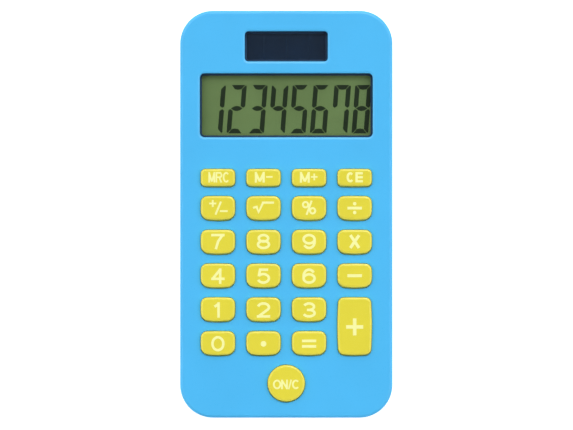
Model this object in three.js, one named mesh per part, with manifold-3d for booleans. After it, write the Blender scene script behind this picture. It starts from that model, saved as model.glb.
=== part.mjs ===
// A slim pocket calculator with a solar cell, an eight-digit display and twenty-four keys.
// Sizes are in millimetres. It lies on its rubber feet at z = 0, centred on x = 0 and y = 0.
// +X is its right-hand side, +Y the solar-cell end and +Z the side with the keys.
import * as THREE from "three";
import { mergeVertices } from "three/addons/utils/BufferGeometryUtils.js";
import Module from "manifold-3d";

const wasm = await Module();
wasm.setup();

// ---- Driving dimensions ----

// Case
const caseWidth = 60;
const caseLength = 115;
const caseCornerRadius = 9.3;
const shellDepth = 9.2;
const footHeight = 0.6;
const faceWall = 1.4;
const rearWall = 1.2;
const sideWall = 1.6;
const faceEdgeRadius = 0.9;
const rearEdgeRadius = 1.6;
const rearShellHeight = 3.6;
const lipHeight = 1.2;
const lipThickness = 0.7;

// Clearances
const seatGap = 0.05;
const seamGap = 0.3;
const lipGap = 0.1;
const keyGap = 0.15;
const holeGap = 0.1;
const recessGap = 0.15;
const doorGap = 0.2;

// How far a cutter runs past the face it leaves, and a post or rib into the wall it stands on
const cutPast = 1;
const rooted = 0.3;

// Keys: the room between and beside them, which sizes the caps, and what keeps each under the face
const keyMarginX = 5.925;
const columnGap = 3.25;
const rowGap = 2.6;
const onKeyMargin = 4.5;
const onKeyDiameter = 10.45;
const keyRadius = 1.6;
const mostCornerShare = 0.45;
const memoryKeyLength = 5.05;
const memoryKeyRadius = 1.1;
const plusKeyRadius = 1.4;
const keyProud = 1.3;
const keyEdgeRadius = 0.45;
const flangeWidth = 0.8;
const flangeThickness = 0.7;
const flangeGap = 0.1;
const plungerRadius = 1.7;
const plungerHeight = 0.4;

// Windows, which are bonded behind the face
const displayMarginX = 5.6;
const displayLength = 18.05;
const displayToKeys = 9.0;
const displayRadius = 1.3;
const solarWidth = 23.4;
const solarLength = 8.5;
const solarMargin = 5.85;
const solarToDisplay = 3.375;
const solarRadius = 1.0;
const paneThickness = 0.75;
const paneOverlapX = 1.5;
const paneOverlapY = 0.8;

// Display stack
const glassOverlapX = 2.1;
const glassOverlapY = 0.9;
const contactLedge = 2.2;
const glassThickness = 0.5;
const polariserThickness = 0.2;
const polariserInset = 1.0;
const frameLedge = 2.0;
const frameLedgeThickness = 0.7;
const frameWall = 0.8;
const pocketGap = 0.15;
const connectorWidth = 1.3;

// Solar cell
const cellThickness = 1.1;
const cellOverlapX = 1.0;
const ribThickness = 0.9;
const ribDepth = 1.9;

// Circuit board and key membrane
const boardThickness = 1.0;
const boardSideGap = 1.0;
const boardCornerRadius = 6;
const boardEndGap = 1.3;
const boardPastConnector = 0.6;
const sheetThickness = 0.5;
const sheetSideGap = 2.9;
const domeBaseRadius = 3.2;
const domeTopRadius = 2.1;
const domeSkin = 0.4;

// What the board carries
const chipX = 4;
const chipToKeys = 14.1;
const chipRadius = 4.6;
const chipHeight = 1.1;
const smallPartX = 16;
const capacitorWidth = 3.2;
const capacitorLength = 1.6;
const capacitorHeight = 1.5;
const diodeRadius = 0.8;
const diodeLength = 4.2;
const diodeLeadRadius = 0.25;
const diodeLeadReach = 2.4;
const diodeToCapacitor = 6;

// Screws
const caseScrewEdge = 5.5;
const caseScrewEnd = 7.0;
const caseScrewRadius = 1.0;
const caseScrewLength = 5.6;
const caseHeadRadius = 1.9;
const caseHeadHeight = 1.1;
const caseHeadSink = 0.5;
const boardScrewEdge = 8;
const boardScrewToKeys = 2.9;
const boardScrewRadius = 0.8;
const boardScrewLength = 3.4;
const boardHeadRadius = 1.5;
const boardHeadHeight = 0.8;
const rearPostRadius = 3.0;
const facePostRadius = 2.5;
const boardPostRadius = 1.8;
const holeEndWall = 0.2;
const screwTipRadius = 0.2;
const recessReach = 1.2;
const recessWidth = 0.3;
const recessDepth = 0.5;

// Button cell, its contacts and its door
const buttonX = -15;
const buttonRadius = 5.8;
const buttonHeight = 3.05;
const buttonCapHeight = 0.3;
const buttonSealWidth = 0.4;
const wellGap = 0.3;
const wellWall = 1.4;
const wellHeight = 2.8;
const doorMargin = 1.9;
const doorRadius = 1.5;
const doorThickness = 0.9;
const doorPadMargin = 1.0;
const doorPadHeight = 0.5;
const doorCellPadInset = 0.3;
const doorCellPadHeight = 1.45;
const doorScrewToWell = 0.9;
const doorScrewMargin = 0.5;
const doorScrewHold = 3.0;
const doorHeadSink = 0.2;
const doorScrewRadius = 0.8;
const doorScrewLength = 3.4;
const doorHeadRadius = 1.5;
const doorHeadHeight = 0.8;
const doorBossRadius = 2.1;
const doorBossHeight = 1.6;
const doorPostWall = 0.7;
const contactThickness = 0.25;
const contactWidth = 4;
const contactReach = 3;
const contactBendGap = 0.8;
const contactToFrame = 0.075;
const contactSideGap = 0.1;
const contactDrop = 0.6;
const slotSideGap = 0.5;
const slotSill = 0.3;
const contactFootRise = 0.5;
const contactTopDrop = 0.4;
const wireRadius = 0.45;
const solderGap = 0.25;

// Rubber feet
const footRadius = 3.5;
const footEdge = 11;
const footEnd = 11.5;
const footSink = 0.6;

// Small chamfer on turned edges
const chamfer = 0.3;

// ---- Levels and places that follow from them ----

const rearZ = footHeight;
const faceZ = rearZ + shellDepth;
const floorZ = rearZ + rearWall;
const ceilingZ = faceZ - faceWall;
const seamZ = rearZ + rearShellHeight;
const halfWidth = caseWidth / 2;
const halfLength = caseLength / 2;

const solarY = halfLength - solarMargin - solarLength / 2;
const displayY = solarY - solarLength / 2 - solarToDisplay - displayLength / 2;
const displayWidth = caseWidth - 2 * displayMarginX;
const memoryRowY = displayY - displayLength / 2 - displayToKeys - memoryKeyLength / 2;
const onKeyY = -halfLength + onKeyMargin + onKeyDiameter / 2;
const keyWidth = (caseWidth - 2 * keyMarginX - 3 * columnGap) / 4;
const rowsFarY = memoryRowY - memoryKeyLength / 2;
const rowsNearY = onKeyY + onKeyDiameter / 2;
const keyLength = (rowsFarY - rowsNearY - 6 * rowGap) / 5;
const columnPitch = keyWidth + columnGap;
const rowPitch = keyLength + rowGap;
const functionRowY = rowsFarY - rowGap - keyLength / 2;

const caseScrewX = halfWidth - caseScrewEdge;
const caseScrewY = halfLength - caseScrewEnd;
const boardScrewX = halfWidth - boardScrewEdge;
const boardScrewY = memoryRowY + memoryKeyLength / 2 + boardScrewToKeys;
const footX = halfWidth - footEdge;
const footY = halfLength - footEnd;

const paneZ = ceilingZ - seatGap - paneThickness;
const frontPolariserZ = paneZ - seatGap - polariserThickness;
const frontGlassZ = frontPolariserZ - seatGap - glassThickness;
const rearGlassZ = frontGlassZ - seatGap - glassThickness;
const rearPolariserZ = rearGlassZ - seatGap - polariserThickness;
const frameZ = rearPolariserZ - seatGap - frameLedgeThickness;
const boardTopZ = frameZ - seatGap;
const boardZ = boardTopZ - boardThickness;
const sheetZ = boardTopZ + seatGap;

const glassWidth = displayWidth + 2 * glassOverlapX;
const rearGlassLength = displayLength + 2 * glassOverlapY;
const frontGlassLength = rearGlassLength + contactLedge;
const frontGlassY = displayY - contactLedge / 2;
const connectorY = displayY - rearGlassLength / 2 - contactLedge / 2;

const boardWidth = caseWidth - 2 * sideWall - 2 * boardSideGap;
const boardFarY = connectorY + connectorWidth / 2 + boardPastConnector;
const boardNearY = -halfLength + sideWall + boardEndGap;

const plungerZ = ceilingZ - flangeGap - flangeThickness - plungerHeight;

// The cell stands on the door's pad. Its near contact comes down just inside the display frame's opening.
const frameOpeningY = connectorY + connectorWidth / 2 + frameLedge;
const wellRadius = buttonRadius + wellGap;
const contactEndY = frameOpeningY + contactToFrame + contactThickness;
const buttonY = contactEndY + contactBendGap + wellWall + wellRadius;
const buttonZ = rearZ + doorCellPadHeight + seatGap;
const contactZ = buttonZ + buttonHeight + seatGap;
const doorPostRadius = doorBossRadius + doorGap + doorPostWall;
const doorScrewOffset = wellRadius + wellWall + doorScrewToWell + doorPostRadius;
const doorScrewX = buttonX + doorScrewOffset;
const doorHalfLength = wellRadius + doorMargin;
const doorRight = doorScrewOffset + doorBossRadius + doorScrewMargin;

// ---- Materials ----

const blueCase = new THREE.MeshStandardMaterial({ color: 0x55c2fc, roughness: 0.45, metalness: 0 });
const yellowKey = new THREE.MeshStandardMaterial({ color: 0xe8e34e, roughness: 0.5, metalness: 0 });
const clearPane = new THREE.MeshStandardMaterial({ color: 0xdfe6e4, roughness: 0.08, metalness: 0 });
const clearGlass = new THREE.MeshStandardMaterial({ color: 0xc9d2c6, roughness: 0.05, metalness: 0 });
const polariser = new THREE.MeshStandardMaterial({ color: 0x5c7248, roughness: 0.4, metalness: 0 });
const solarGlass = new THREE.MeshStandardMaterial({ color: 0x1c2a3b, roughness: 0.15, metalness: 0 });
const greyPlastic = new THREE.MeshStandardMaterial({ color: 0xb9bdbd, roughness: 0.6, metalness: 0 });
const softRubber = new THREE.MeshStandardMaterial({ color: 0xcfcfc8, roughness: 0.8, metalness: 0 });
const darkRubber = new THREE.MeshStandardMaterial({ color: 0x3b3e40, roughness: 0.85, metalness: 0 });
const boardLaminate = new THREE.MeshStandardMaterial({ color: 0x9c7a3c, roughness: 0.6, metalness: 0 });
const blackEpoxy = new THREE.MeshStandardMaterial({ color: 0x121212, roughness: 0.35, metalness: 0 });
const ceramicBody = new THREE.MeshStandardMaterial({ color: 0xb28a5c, roughness: 0.5, metalness: 0 });
const amberGlass = new THREE.MeshStandardMaterial({ color: 0xb5532a, roughness: 0.2, metalness: 0 });
const steel = new THREE.MeshStandardMaterial({ color: 0xc2c4c6, roughness: 0.3, metalness: 1 });
const redWire = new THREE.MeshStandardMaterial({ color: 0xb3251e, roughness: 0.5, metalness: 0 });
const blackWire = new THREE.MeshStandardMaterial({ color: 0x1a1a1a, roughness: 0.5, metalness: 0 });

// ---- Outlines ----

// A circle round a point, anticlockwise.
function circle(radius, sides, x = 0, y = 0) {
  return Array.from({ length: sides }, (_, side) => {
    const angle = (2 * Math.PI * side) / sides;
    return new THREE.Vector2(x + radius * Math.cos(angle), y + radius * Math.sin(angle));
  });
}

// A rectangle with round corners and a point at the middle of each side, anticlockwise.
function roundedRectangle(width, length, radius, cornerSteps, x = 0, y = 0) {
  const signs = [[1, 1], [-1, 1], [-1, -1], [1, -1]];
  return signs.flatMap(([signX, signY], corner) => {
    const arc = Array.from({ length: cornerSteps + 1 }, (_, step) => {
      const angle = ((corner + step / cornerSteps) * Math.PI) / 2;
      return new THREE.Vector2(
        x + signX * (width / 2 - radius) + radius * Math.cos(angle),
        y + signY * (length / 2 - radius) + radius * Math.sin(angle),
      );
    });
    const nextX = corner % 2 === 0 ? 0 : (signX * width) / 2;
    const nextY = corner % 2 === 0 ? (signY * length) / 2 : 0;
    return [...arc, new THREE.Vector2(x + nextX, y + nextY)];
  });
}

// A rounded rectangle whose sides and ends bow outwards: a bow is how far each corner draws in.
function bowedRectangle(width, length, radius, cornerSteps, bow) {
  return roundedRectangle(width, length, radius, cornerSteps).map((point) => {
    const alongX = (2 * point.x) / width;
    const alongY = (2 * point.y) / length;
    const sideBow = point.y < 0 ? bow.sideNear : bow.sideFar;
    const endBow = point.y < 0 ? bow.endNear : bow.endFar;
    return new THREE.Vector2(
      point.x * (1 - ((2 * sideBow) / width) * alongY ** 2),
      point.y * (1 - ((2 * endBow) / length) * alongX ** 2),
    );
  });
}

// The case's outline, drawn in all round by an inset.
function caseOutline(inset) {
  return roundedRectangle(caseWidth - 2 * inset, caseLength - 2 * inset, caseCornerRadius - inset, 6);
}

// ---- Solids ----

// A closed surface through outlines with as many points each, listed from the bottom up.
function loft(sections) {
  const count = sections[0].outline.length;
  const positions = sections.flatMap(({ outline, z }) => outline.flatMap((p) => [p.x, p.y, z]));
  const indices = [];
  for (let level = 0; level + 1 < sections.length; level++) {
    for (let i = 0; i < count; i++) {
      const low = level * count + i;
      const lowNext = level * count + ((i + 1) % count);
      indices.push(low, lowNext, lowNext + count, low, lowNext + count, low + count);
    }
  }
  const lid = THREE.ShapeUtils.triangulateShape(sections.at(-1).outline, []);
  const base = THREE.ShapeUtils.triangulateShape(sections[0].outline, []);
  const topStart = (sections.length - 1) * count;
  lid.forEach(([a, b, c]) => indices.push(topStart + a, topStart + b, topStart + c));
  base.forEach(([a, b, c]) => indices.push(c, b, a));
  const geometry = new THREE.BufferGeometry();
  geometry.setAttribute("position", new THREE.Float32BufferAttribute(positions, 3));
  geometry.setIndex(indices);
  return geometry;
}

function prism(outline, bottom, top) {
  return loft([{ outline, z: bottom }, { outline, z: top }]);
}

function cylinder(radius, bottom, top, x = 0, y = 0, sides = 20) {
  return prism(circle(radius, sides, x, y), bottom, top);
}

function box(width, length, bottom, top, x, y) {
  const geometry = new THREE.BoxGeometry(width, length, top - bottom);
  return geometry.translate(x, y, (bottom + top) / 2);
}

// A shape turned round the Z axis from [radius, z] points that start and end on the axis.
function turned(profile, sides = 20) {
  const points = profile.map(([radius, z]) => new THREE.Vector2(radius, z));
  return new THREE.LatheGeometry(points, sides).rotateX(Math.PI / 2);
}

// A round wire along a smooth curve through its points.
function wire(points) {
  const curve = new THREE.CatmullRomCurve3(points.map((point) => new THREE.Vector3(...point)));
  const section = new THREE.Shape(circle(wireRadius, 8));
  return new THREE.ExtrudeGeometry(section, { steps: 12, bevelEnabled: false, extrudePath: curve });
}

// A strip of one width along X, with the bend that its [y, z] profile gives.
function bentStrip(profile, width) {
  const section = new THREE.Shape(profile.map(([y, z]) => new THREE.Vector2(y, z)));
  const geometry = new THREE.ExtrudeGeometry(section, { depth: width, bevelEnabled: false });
  geometry.translate(0, 0, -width / 2);
  return geometry.applyMatrix4(new THREE.Matrix4().set(0, 0, 1, 0, 1, 0, 0, 0, 0, 1, 0, 0, 0, 0, 0, 1));
}

// The solid that a closed geometry bounds.
function solid(geometry) {
  const plain = new THREE.BufferGeometry();
  plain.setAttribute("position", geometry.getAttribute("position"));
  plain.setIndex(geometry.getIndex());
  const merged = mergeVertices(plain, 1e-4);
  const triVerts = new Uint32Array(merged.index.array);
  const vertProperties = merged.attributes.position.array;
  return new wasm.Manifold(new wasm.Mesh({ numProp: 3, vertProperties, triVerts }));
}

function join(base, additions) {
  return additions.reduce((sum, geometry) => sum.add(solid(geometry)), base);
}

function cut(base, cutters) {
  return cutters.reduce((rest, geometry) => rest.subtract(solid(geometry)), base);
}

function geometryOf(body) {
  const mesh = body.getMesh();
  const geometry = new THREE.BufferGeometry();
  geometry.setAttribute("position", new THREE.BufferAttribute(mesh.vertProperties, 3));
  geometry.setIndex(new THREE.BufferAttribute(mesh.triVerts, 1));
  geometry.computeVertexNormals();
  return geometry;
}

const calculator = new THREE.Group();

function place(name, geometry, material, x = 0, y = 0, z = 0) {
  const mesh = new THREE.Mesh(geometry, material);
  mesh.name = name;
  mesh.position.set(x, y, z);
  calculator.add(mesh);
}

// ---- Keys ----

const keyBow = { sideFar: 0.15, sideNear: 0.45, endFar: 0.1, endNear: 0.42 };
const memoryKeyBow = { sideFar: 0.12, sideNear: 0.12, endFar: 0.05, endNear: 0.12 };
const plusKeyBow = { sideFar: 0.3, sideNear: 0.3, endFar: 0.1, endNear: 0.35 };

function columnX(column) {
  return (column - 1.5) * columnPitch;
}

// A key's outline, grown all round by a margin. A short key limits the radius of its corners.
function keyOutline(key, margin) {
  if (key.round) return circle(key.width / 2 + margin, 20);
  const width = key.width + 2 * margin;
  const length = key.length + 2 * margin;
  const radius = Math.min(key.radius, mostCornerShare * key.length);
  return bowedRectangle(width, length, radius + margin, 2, key.bow);
}

function normalKey(name, column, row) {
  const y = functionRowY - row * rowPitch;
  return { name, x: columnX(column), y, width: keyWidth, length: keyLength, radius: keyRadius, bow: keyBow };
}

function memoryKey(name, column) {
  const size = { width: keyWidth, length: memoryKeyLength, radius: memoryKeyRadius };
  return { name, x: columnX(column), y: memoryRowY, ...size, bow: memoryKeyBow };
}

const memoryNames = ["memory_recall", "memory_minus", "memory_plus", "clear_entry"];
const rowNames = [
  ["sign_change", "square_root", "percent", "divide"],
  ["7", "8", "9", "multiply"],
  ["4", "5", "6", "minus"],
  ["1", "2", "3"],
  ["0", "decimal_point", "equals"],
];
const plusKey = {
  name: "plus",
  x: columnX(3),
  y: functionRowY - 3.5 * rowPitch,
  width: keyWidth,
  length: keyLength + rowPitch,
  radius: plusKeyRadius,
  bow: plusKeyBow,
};
const onKey = { name: "on_clear", x: 0, y: onKeyY, width: onKeyDiameter, length: onKeyDiameter, round: true };
const keys = [
  ...memoryNames.map((name, column) => memoryKey(name, column)),
  ...rowNames.flatMap((names, row) => names.map((name, column) => normalKey(name, column, row))),
  plusKey,
  onKey,
];

// A cap with a rounded top edge, a flange under the face and a plunger over its dome.
function keyCap(key) {
  const flangeTop = -faceWall - flangeGap;
  const flangeBottom = flangeTop - flangeThickness;
  const edge = [0, 0.5, 1].map((share) => {
    const angle = (share * Math.PI) / 2;
    const inset = keyEdgeRadius * (1 - Math.cos(angle));
    return { outline: keyOutline(key, -inset), z: keyProud - keyEdgeRadius * (1 - Math.sin(angle)) };
  });
  const cap = loft([
    { outline: keyOutline(key, flangeWidth), z: flangeBottom },
    { outline: keyOutline(key, flangeWidth), z: flangeTop },
    { outline: keyOutline(key, 0), z: flangeTop },
    ...edge,
  ]);
  const plunger = cylinder(plungerRadius, flangeBottom - plungerHeight, flangeTop, 0, 0, 8);
  return geometryOf(join(solid(cap), [plunger]));
}

keys.forEach((key) => place(`key_${key.name}`, keyCap(key), yellowKey, key.x, key.y, faceZ));

// One silicone sheet with a hollow dome under each key.
function keyMembrane() {
  const sheetWidth = boardWidth - 2 * sheetSideGap;
  const sheetFar = memoryRowY + memoryKeyLength / 2 + flangeWidth;
  const sheetLength = sheetFar - boardNearY;
  const sheetY = (sheetFar + boardNearY) / 2;
  const outline = roundedRectangle(sheetWidth, sheetLength, boardCornerRadius, 4, 0, sheetY);
  const sheetTop = sheetZ + sheetThickness;
  const domeTop = plungerZ - seatGap;
  const domes = keys.map((key) =>
    turned([[0, sheetZ], [domeBaseRadius, sheetZ], [domeBaseRadius, sheetTop], [domeTopRadius, domeTop],
      [0, domeTop]], 8).translate(key.x, key.y, 0));
  const hollowBase = domeBaseRadius - domeSkin;
  const hollowTop = domeTopRadius - domeSkin;
  const hollows = keys.map((key) =>
    turned([[0, sheetZ - cutPast], [hollowBase, sheetZ - cutPast], [hollowBase, sheetTop],
      [hollowTop, domeTop - domeSkin], [0, domeTop - domeSkin]], 8).translate(key.x, key.y, 0));
  const postHoles = [-caseScrewX, caseScrewX].map((x) =>
    cylinder(facePostRadius + recessGap, sheetZ - cutPast, sheetTop + cutPast, x, -caseScrewY));
  const sheet = join(solid(prism(outline, sheetZ, sheetTop)), domes);
  return geometryOf(cut(sheet, [...hollows, ...postHoles]));
}

place("key_membrane", keyMembrane(), softRubber);

// ---- Front shell ----

// The quarter-round edge of a shell, as insets and heights over the start of the round.
function edgeRound(radius) {
  return [0, 1, 2, 3].map((step) => {
    const angle = (step * Math.PI) / 6;
    return { inset: radius * (1 - Math.cos(angle)), rise: radius * Math.sin(angle) };
  });
}

const casePosts = [-caseScrewX, caseScrewX].flatMap((x) => [-caseScrewY, caseScrewY].map((y) => ({ x, y })));
const boardPosts = [-boardScrewX, boardScrewX].map((x) => ({ x, y: boardScrewY }));
const rearPostTop = boardZ - seatGap;

// Ribs at both ends and the far side of the solar cell keep it in line with its window.
function solarRibs() {
  const cellHalfX = solarWidth / 2 + cellOverlapX;
  const cellHalfY = solarLength / 2 + paneOverlapY;
  const bottom = ceilingZ - ribDepth;
  const endX = cellHalfX + pocketGap + ribThickness / 2;
  const farY = solarY + cellHalfY + pocketGap + ribThickness / 2;
  const top = ceilingZ + rooted;
  const ends = [-endX, endX].map((x) => box(ribThickness, 2 * cellHalfY, bottom, top, x, solarY));
  return [...ends, box(2 * cellHalfX, ribThickness, bottom, top, 0, farY)];
}

function frontShell() {
  const bottom = seamZ + seamGap / 2;
  const roundStart = faceZ - faceEdgeRadius;
  const round = edgeRound(faceEdgeRadius).map(({ inset, rise }) => (
    { outline: caseOutline(inset), z: roundStart + rise }));
  const outer = solid(loft([{ outline: caseOutline(0), z: bottom }, ...round]));
  const cavity = prism(caseOutline(sideWall), bottom - cutPast, ceilingZ);
  const lipSpace = prism(
    caseOutline(sideWall - lipThickness - lipGap), bottom - cutPast, seamZ + lipHeight + lipGap);
  const posts = casePosts.map(({ x, y }) => {
    const end = y < 0 ? sheetZ : rearPostTop + seatGap;
    return cylinder(facePostRadius, end, ceilingZ + rooted, x, y);
  });
  const smallPosts = boardPosts.map(({ x, y }) =>
    cylinder(boardPostRadius, sheetZ, ceilingZ + rooted, x, y, 16));
  const screwHoles = casePosts.map(({ x, y }) =>
    cylinder(caseScrewRadius + holeGap, bottom - cutPast, ceilingZ - holeEndWall, x, y, 16));
  const smallScrewHoles = boardPosts.map(({ x, y }) =>
    cylinder(boardScrewRadius + holeGap, bottom - cutPast, ceilingZ - holeEndWall, x, y, 12));
  const holeLow = ceilingZ - cutPast;
  const holeHigh = faceZ + cutPast;
  const keyHoles = keys.map((key) =>
    prism(keyOutline(key, keyGap), holeLow, holeHigh).translate(key.x, key.y, 0));
  const windows = [
    roundedRectangle(displayWidth, displayLength, displayRadius, 4, 0, displayY),
    roundedRectangle(solarWidth, solarLength, solarRadius, 4, 0, solarY),
  ].map((outline) => prism(outline, holeLow, holeHigh));
  const hollow = cut(outer, [cavity, lipSpace]);
  const ribbed = join(hollow, [...posts, ...smallPosts, ...solarRibs()]);
  return geometryOf(cut(ribbed, [...screwHoles, ...smallScrewHoles, ...keyHoles, ...windows]));
}

place("front_shell", frontShell(), blueCase);

// ---- Rear shell ----

const doorX = buttonX + (doorRight - doorHalfLength) / 2;
const doorWidth = doorHalfLength + doorRight;
const doorLength = 2 * doorHalfLength;
const doorSeatZ = rearZ + doorThickness + seatGap;
const doorPadTop = floorZ + doorPadHeight;
const doorBossTop = rearZ + doorBossHeight;
const doorPostTop = doorBossTop + doorScrewHold;

// The door's recess, the cell's well and the door screw's post, on a pad inside the floor.
function batteryBay() {
  const padWidth = doorWidth + 2 * doorPadMargin;
  const padLength = doorLength + 2 * doorPadMargin;
  const recessWidth = doorWidth + 2 * doorGap;
  const recessLength = doorLength + 2 * doorGap;
  const recess = roundedRectangle(recessWidth, recessLength, doorRadius + doorGap, 3, doorX, buttonY);
  const low = floorZ - rooted;
  const below = rearZ - cutPast;
  const wellTop = floorZ + wellHeight;
  const slotX = buttonX - contactWidth / 2;
  const slotLength = 2 * wellWall + wellGap;
  const slotY = buttonY - wellRadius - wellWall + slotLength / 2;
  return {
    additions: [
      prism(roundedRectangle(padWidth, padLength, doorRadius, 3, doorX, buttonY), low, doorPadTop),
      cylinder(wellRadius + wellWall, low, wellTop, buttonX, buttonY, 24),
      cylinder(doorPostRadius, low, doorPostTop, doorScrewX, buttonY),
    ],
    cutters: [
      prism(recess, below, doorSeatZ),
      cylinder(wellRadius, below, wellTop + cutPast, buttonX, buttonY, 24),
      cylinder(doorBossRadius + doorGap, below, doorBossTop + seatGap, doorScrewX, buttonY),
      cylinder(doorScrewRadius + holeGap, below, doorPostTop + cutPast, doorScrewX, buttonY, 12),
      box(contactWidth + 2 * slotSideGap, slotLength, doorPadTop + slotSill, wellTop + cutPast, slotX, slotY),
    ],
  };
}

const feet = [-footX, footX].flatMap((x) => [-footY, footY].map((y) => ({ x, y })));

function rearShell() {
  const wallTop = seamZ - seamGap / 2;
  const round = edgeRound(rearEdgeRadius).map(({ inset, rise }) => (
    { outline: caseOutline(inset), z: rearZ + rearEdgeRadius - rise })).reverse();
  const outer = solid(loft([...round, { outline: caseOutline(0), z: wallTop }]));
  const lip = prism(caseOutline(sideWall - lipThickness), floorZ, seamZ + lipHeight);
  const cavity = prism(caseOutline(sideWall), floorZ, seamZ + lipHeight + cutPast);
  const bay = batteryBay();
  const posts = casePosts.map(({ x, y }) => cylinder(rearPostRadius, floorZ - rooted, rearPostTop, x, y));
  const below = rearZ - cutPast;
  const headSeat = rearZ + caseHeadSink + caseHeadHeight + seatGap;
  const headSpaces = casePosts.map(({ x, y }) =>
    cylinder(caseHeadRadius + recessGap, below, headSeat, x, y));
  const shankHoles = casePosts.map(({ x, y }) =>
    cylinder(caseScrewRadius + holeGap, below, rearPostTop + cutPast, x, y, 16));
  const footSpaces = feet.map(({ x, y }) =>
    cylinder(footRadius + recessGap, below, rearZ + footSink, x, y, 24));
  const tray = cut(join(outer, [lip]), [cavity]);
  const fitted = join(tray, [...posts, ...bay.additions]);
  return geometryOf(cut(fitted, [...headSpaces, ...shankHoles, ...footSpaces, ...bay.cutters]));
}

place("rear_shell", rearShell(), blueCase);

// ---- Windows, display and solar cell ----

place("display_window", prism(
  roundedRectangle(displayWidth + 2 * paneOverlapX, displayLength + 2 * paneOverlapY, displayRadius, 3),
  0, paneThickness), clearPane, 0, displayY, paneZ);
place("solar_window", prism(
  roundedRectangle(solarWidth + 2 * cellOverlapX, solarLength + 2 * paneOverlapY, solarRadius, 3),
  0, paneThickness), clearPane, 0, solarY, paneZ);
place("solar_cell", box(
  solarWidth + 2 * cellOverlapX, solarLength + 2 * paneOverlapY, -cellThickness, 0, 0, 0),
  solarGlass, 0, solarY, paneZ - seatGap);

const polariserWidth = glassWidth - 2 * polariserInset;
const polariserLength = displayLength + 2 * paneOverlapY;
place("lcd_front_polariser", box(polariserWidth, polariserLength, 0, polariserThickness, 0, 0),
  polariser, 0, displayY, frontPolariserZ);
place("lcd_front_glass", box(glassWidth, frontGlassLength, 0, glassThickness, 0, 0),
  clearGlass, 0, frontGlassY, frontGlassZ);
place("lcd_rear_glass", box(glassWidth, rearGlassLength, 0, glassThickness, 0, 0),
  clearGlass, 0, displayY, rearGlassZ);
place("lcd_rear_polariser", box(polariserWidth, polariserLength, 0, polariserThickness, 0, 0),
  polariser, 0, displayY, rearPolariserZ);

// A tray round the display glass, open over the button cell and slotted for the connector.
function lcdFrame() {
  const pocketWidth = glassWidth + 2 * pocketGap;
  const pocketLength = frontGlassLength + 2 * pocketGap;
  const top = ceilingZ - seatGap;
  const openingFar = displayY + rearGlassLength / 2 - frameLedge / 2;
  const slotNear = connectorY - connectorWidth / 2 - pocketGap;
  const slotFar = connectorY + connectorWidth / 2 + pocketGap;
  const openingLength = openingFar - frameOpeningY;
  const openingY = (openingFar + frameOpeningY) / 2;
  const outer = box(pocketWidth + 2 * frameWall, pocketLength + 2 * frameWall, frameZ, top, 0, frontGlassY);
  return geometryOf(cut(solid(outer), [
    box(pocketWidth, pocketLength, frameZ + frameLedgeThickness, top + cutPast, 0, frontGlassY),
    box(glassWidth - 2 * frameLedge, openingLength, frameZ - cutPast, top, 0, openingY),
    box(glassWidth - frameLedge, slotFar - slotNear, frameZ - cutPast, top, 0, (slotNear + slotFar) / 2),
  ]));
}

place("lcd_frame", lcdFrame(), greyPlastic);
place("lcd_connector", box(
  glassWidth - frameLedge - 2 * pocketGap, connectorWidth, sheetZ, frontGlassZ - seatGap, 0, 0),
  softRubber, 0, connectorY);

// ---- Circuit board and what it carries ----

function circuitBoard() {
  const length = boardFarY - boardNearY;
  const middle = (boardFarY + boardNearY) / 2;
  const outline = roundedRectangle(boardWidth, length, boardCornerRadius, 4, 0, middle);
  const holes = [
    ...[-caseScrewX, caseScrewX].map((x) =>
      cylinder(caseScrewRadius + recessGap, boardZ - cutPast, boardTopZ + cutPast, x, -caseScrewY, 16)),
    ...boardPosts.map(({ x, y }) =>
      cylinder(boardScrewRadius + recessGap, boardZ - cutPast, boardTopZ + cutPast, x, y, 12)),
  ];
  return geometryOf(cut(solid(prism(outline, boardZ, boardTopZ)), holes));
}

place("circuit_board", circuitBoard(), boardLaminate);

// These hang under the board: the domed drop of resin over the chip, and two small parts beside it.
const partTopZ = boardZ - seatGap;
const chipY = memoryRowY - chipToKeys;
const capacitorY = chipY + capacitorLength;
place("chip_encapsulation", turned([[0, -chipHeight], [chipRadius * 0.52, -chipHeight * 0.86],
  [chipRadius * 0.87, -chipHeight * 0.45], [chipRadius, 0], [0, 0]]), blackEpoxy, chipX, chipY, partTopZ);
place("capacitor", box(capacitorWidth, capacitorLength, -capacitorHeight, 0, 0, 0), ceramicBody,
  smallPartX, capacitorY, partTopZ);
const diodeHalf = diodeLength / 2;
const diodeEnd = diodeHalf + diodeLeadReach;
const diodeProfile = [[0, -diodeEnd], [diodeLeadRadius, -diodeEnd], [diodeLeadRadius, -diodeHalf],
  [diodeRadius, -diodeHalf], [diodeRadius, diodeHalf], [diodeLeadRadius, diodeHalf],
  [diodeLeadRadius, diodeEnd], [0, diodeEnd]];
place("diode", turned(diodeProfile, 12).rotateY(Math.PI / 2), amberGlass,
  smallPartX, capacitorY - diodeToCapacitor, partTopZ - diodeRadius);

// ---- Screws ----

// A screw along +Z with a cross recess in its head, which is at the bottom.
function screw(radius, length, headRadius, headHeight) {
  const end = headHeight + length;
  const profile = [[0, 0], [headRadius - chamfer, 0], [headRadius, chamfer], [headRadius, headHeight],
    [radius, headHeight], [radius, end - radius], [screwTipRadius, end], [0, end]];
  const slotLength = headRadius * recessReach;
  const slotWidth = headRadius * recessWidth;
  const recess = [
    box(slotLength, slotWidth, -cutPast, headHeight * recessDepth, 0, 0),
    box(slotWidth, slotLength, -cutPast, headHeight * recessDepth, 0, 0),
  ];
  return geometryOf(cut(solid(turned(profile, 12)), recess));
}

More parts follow.
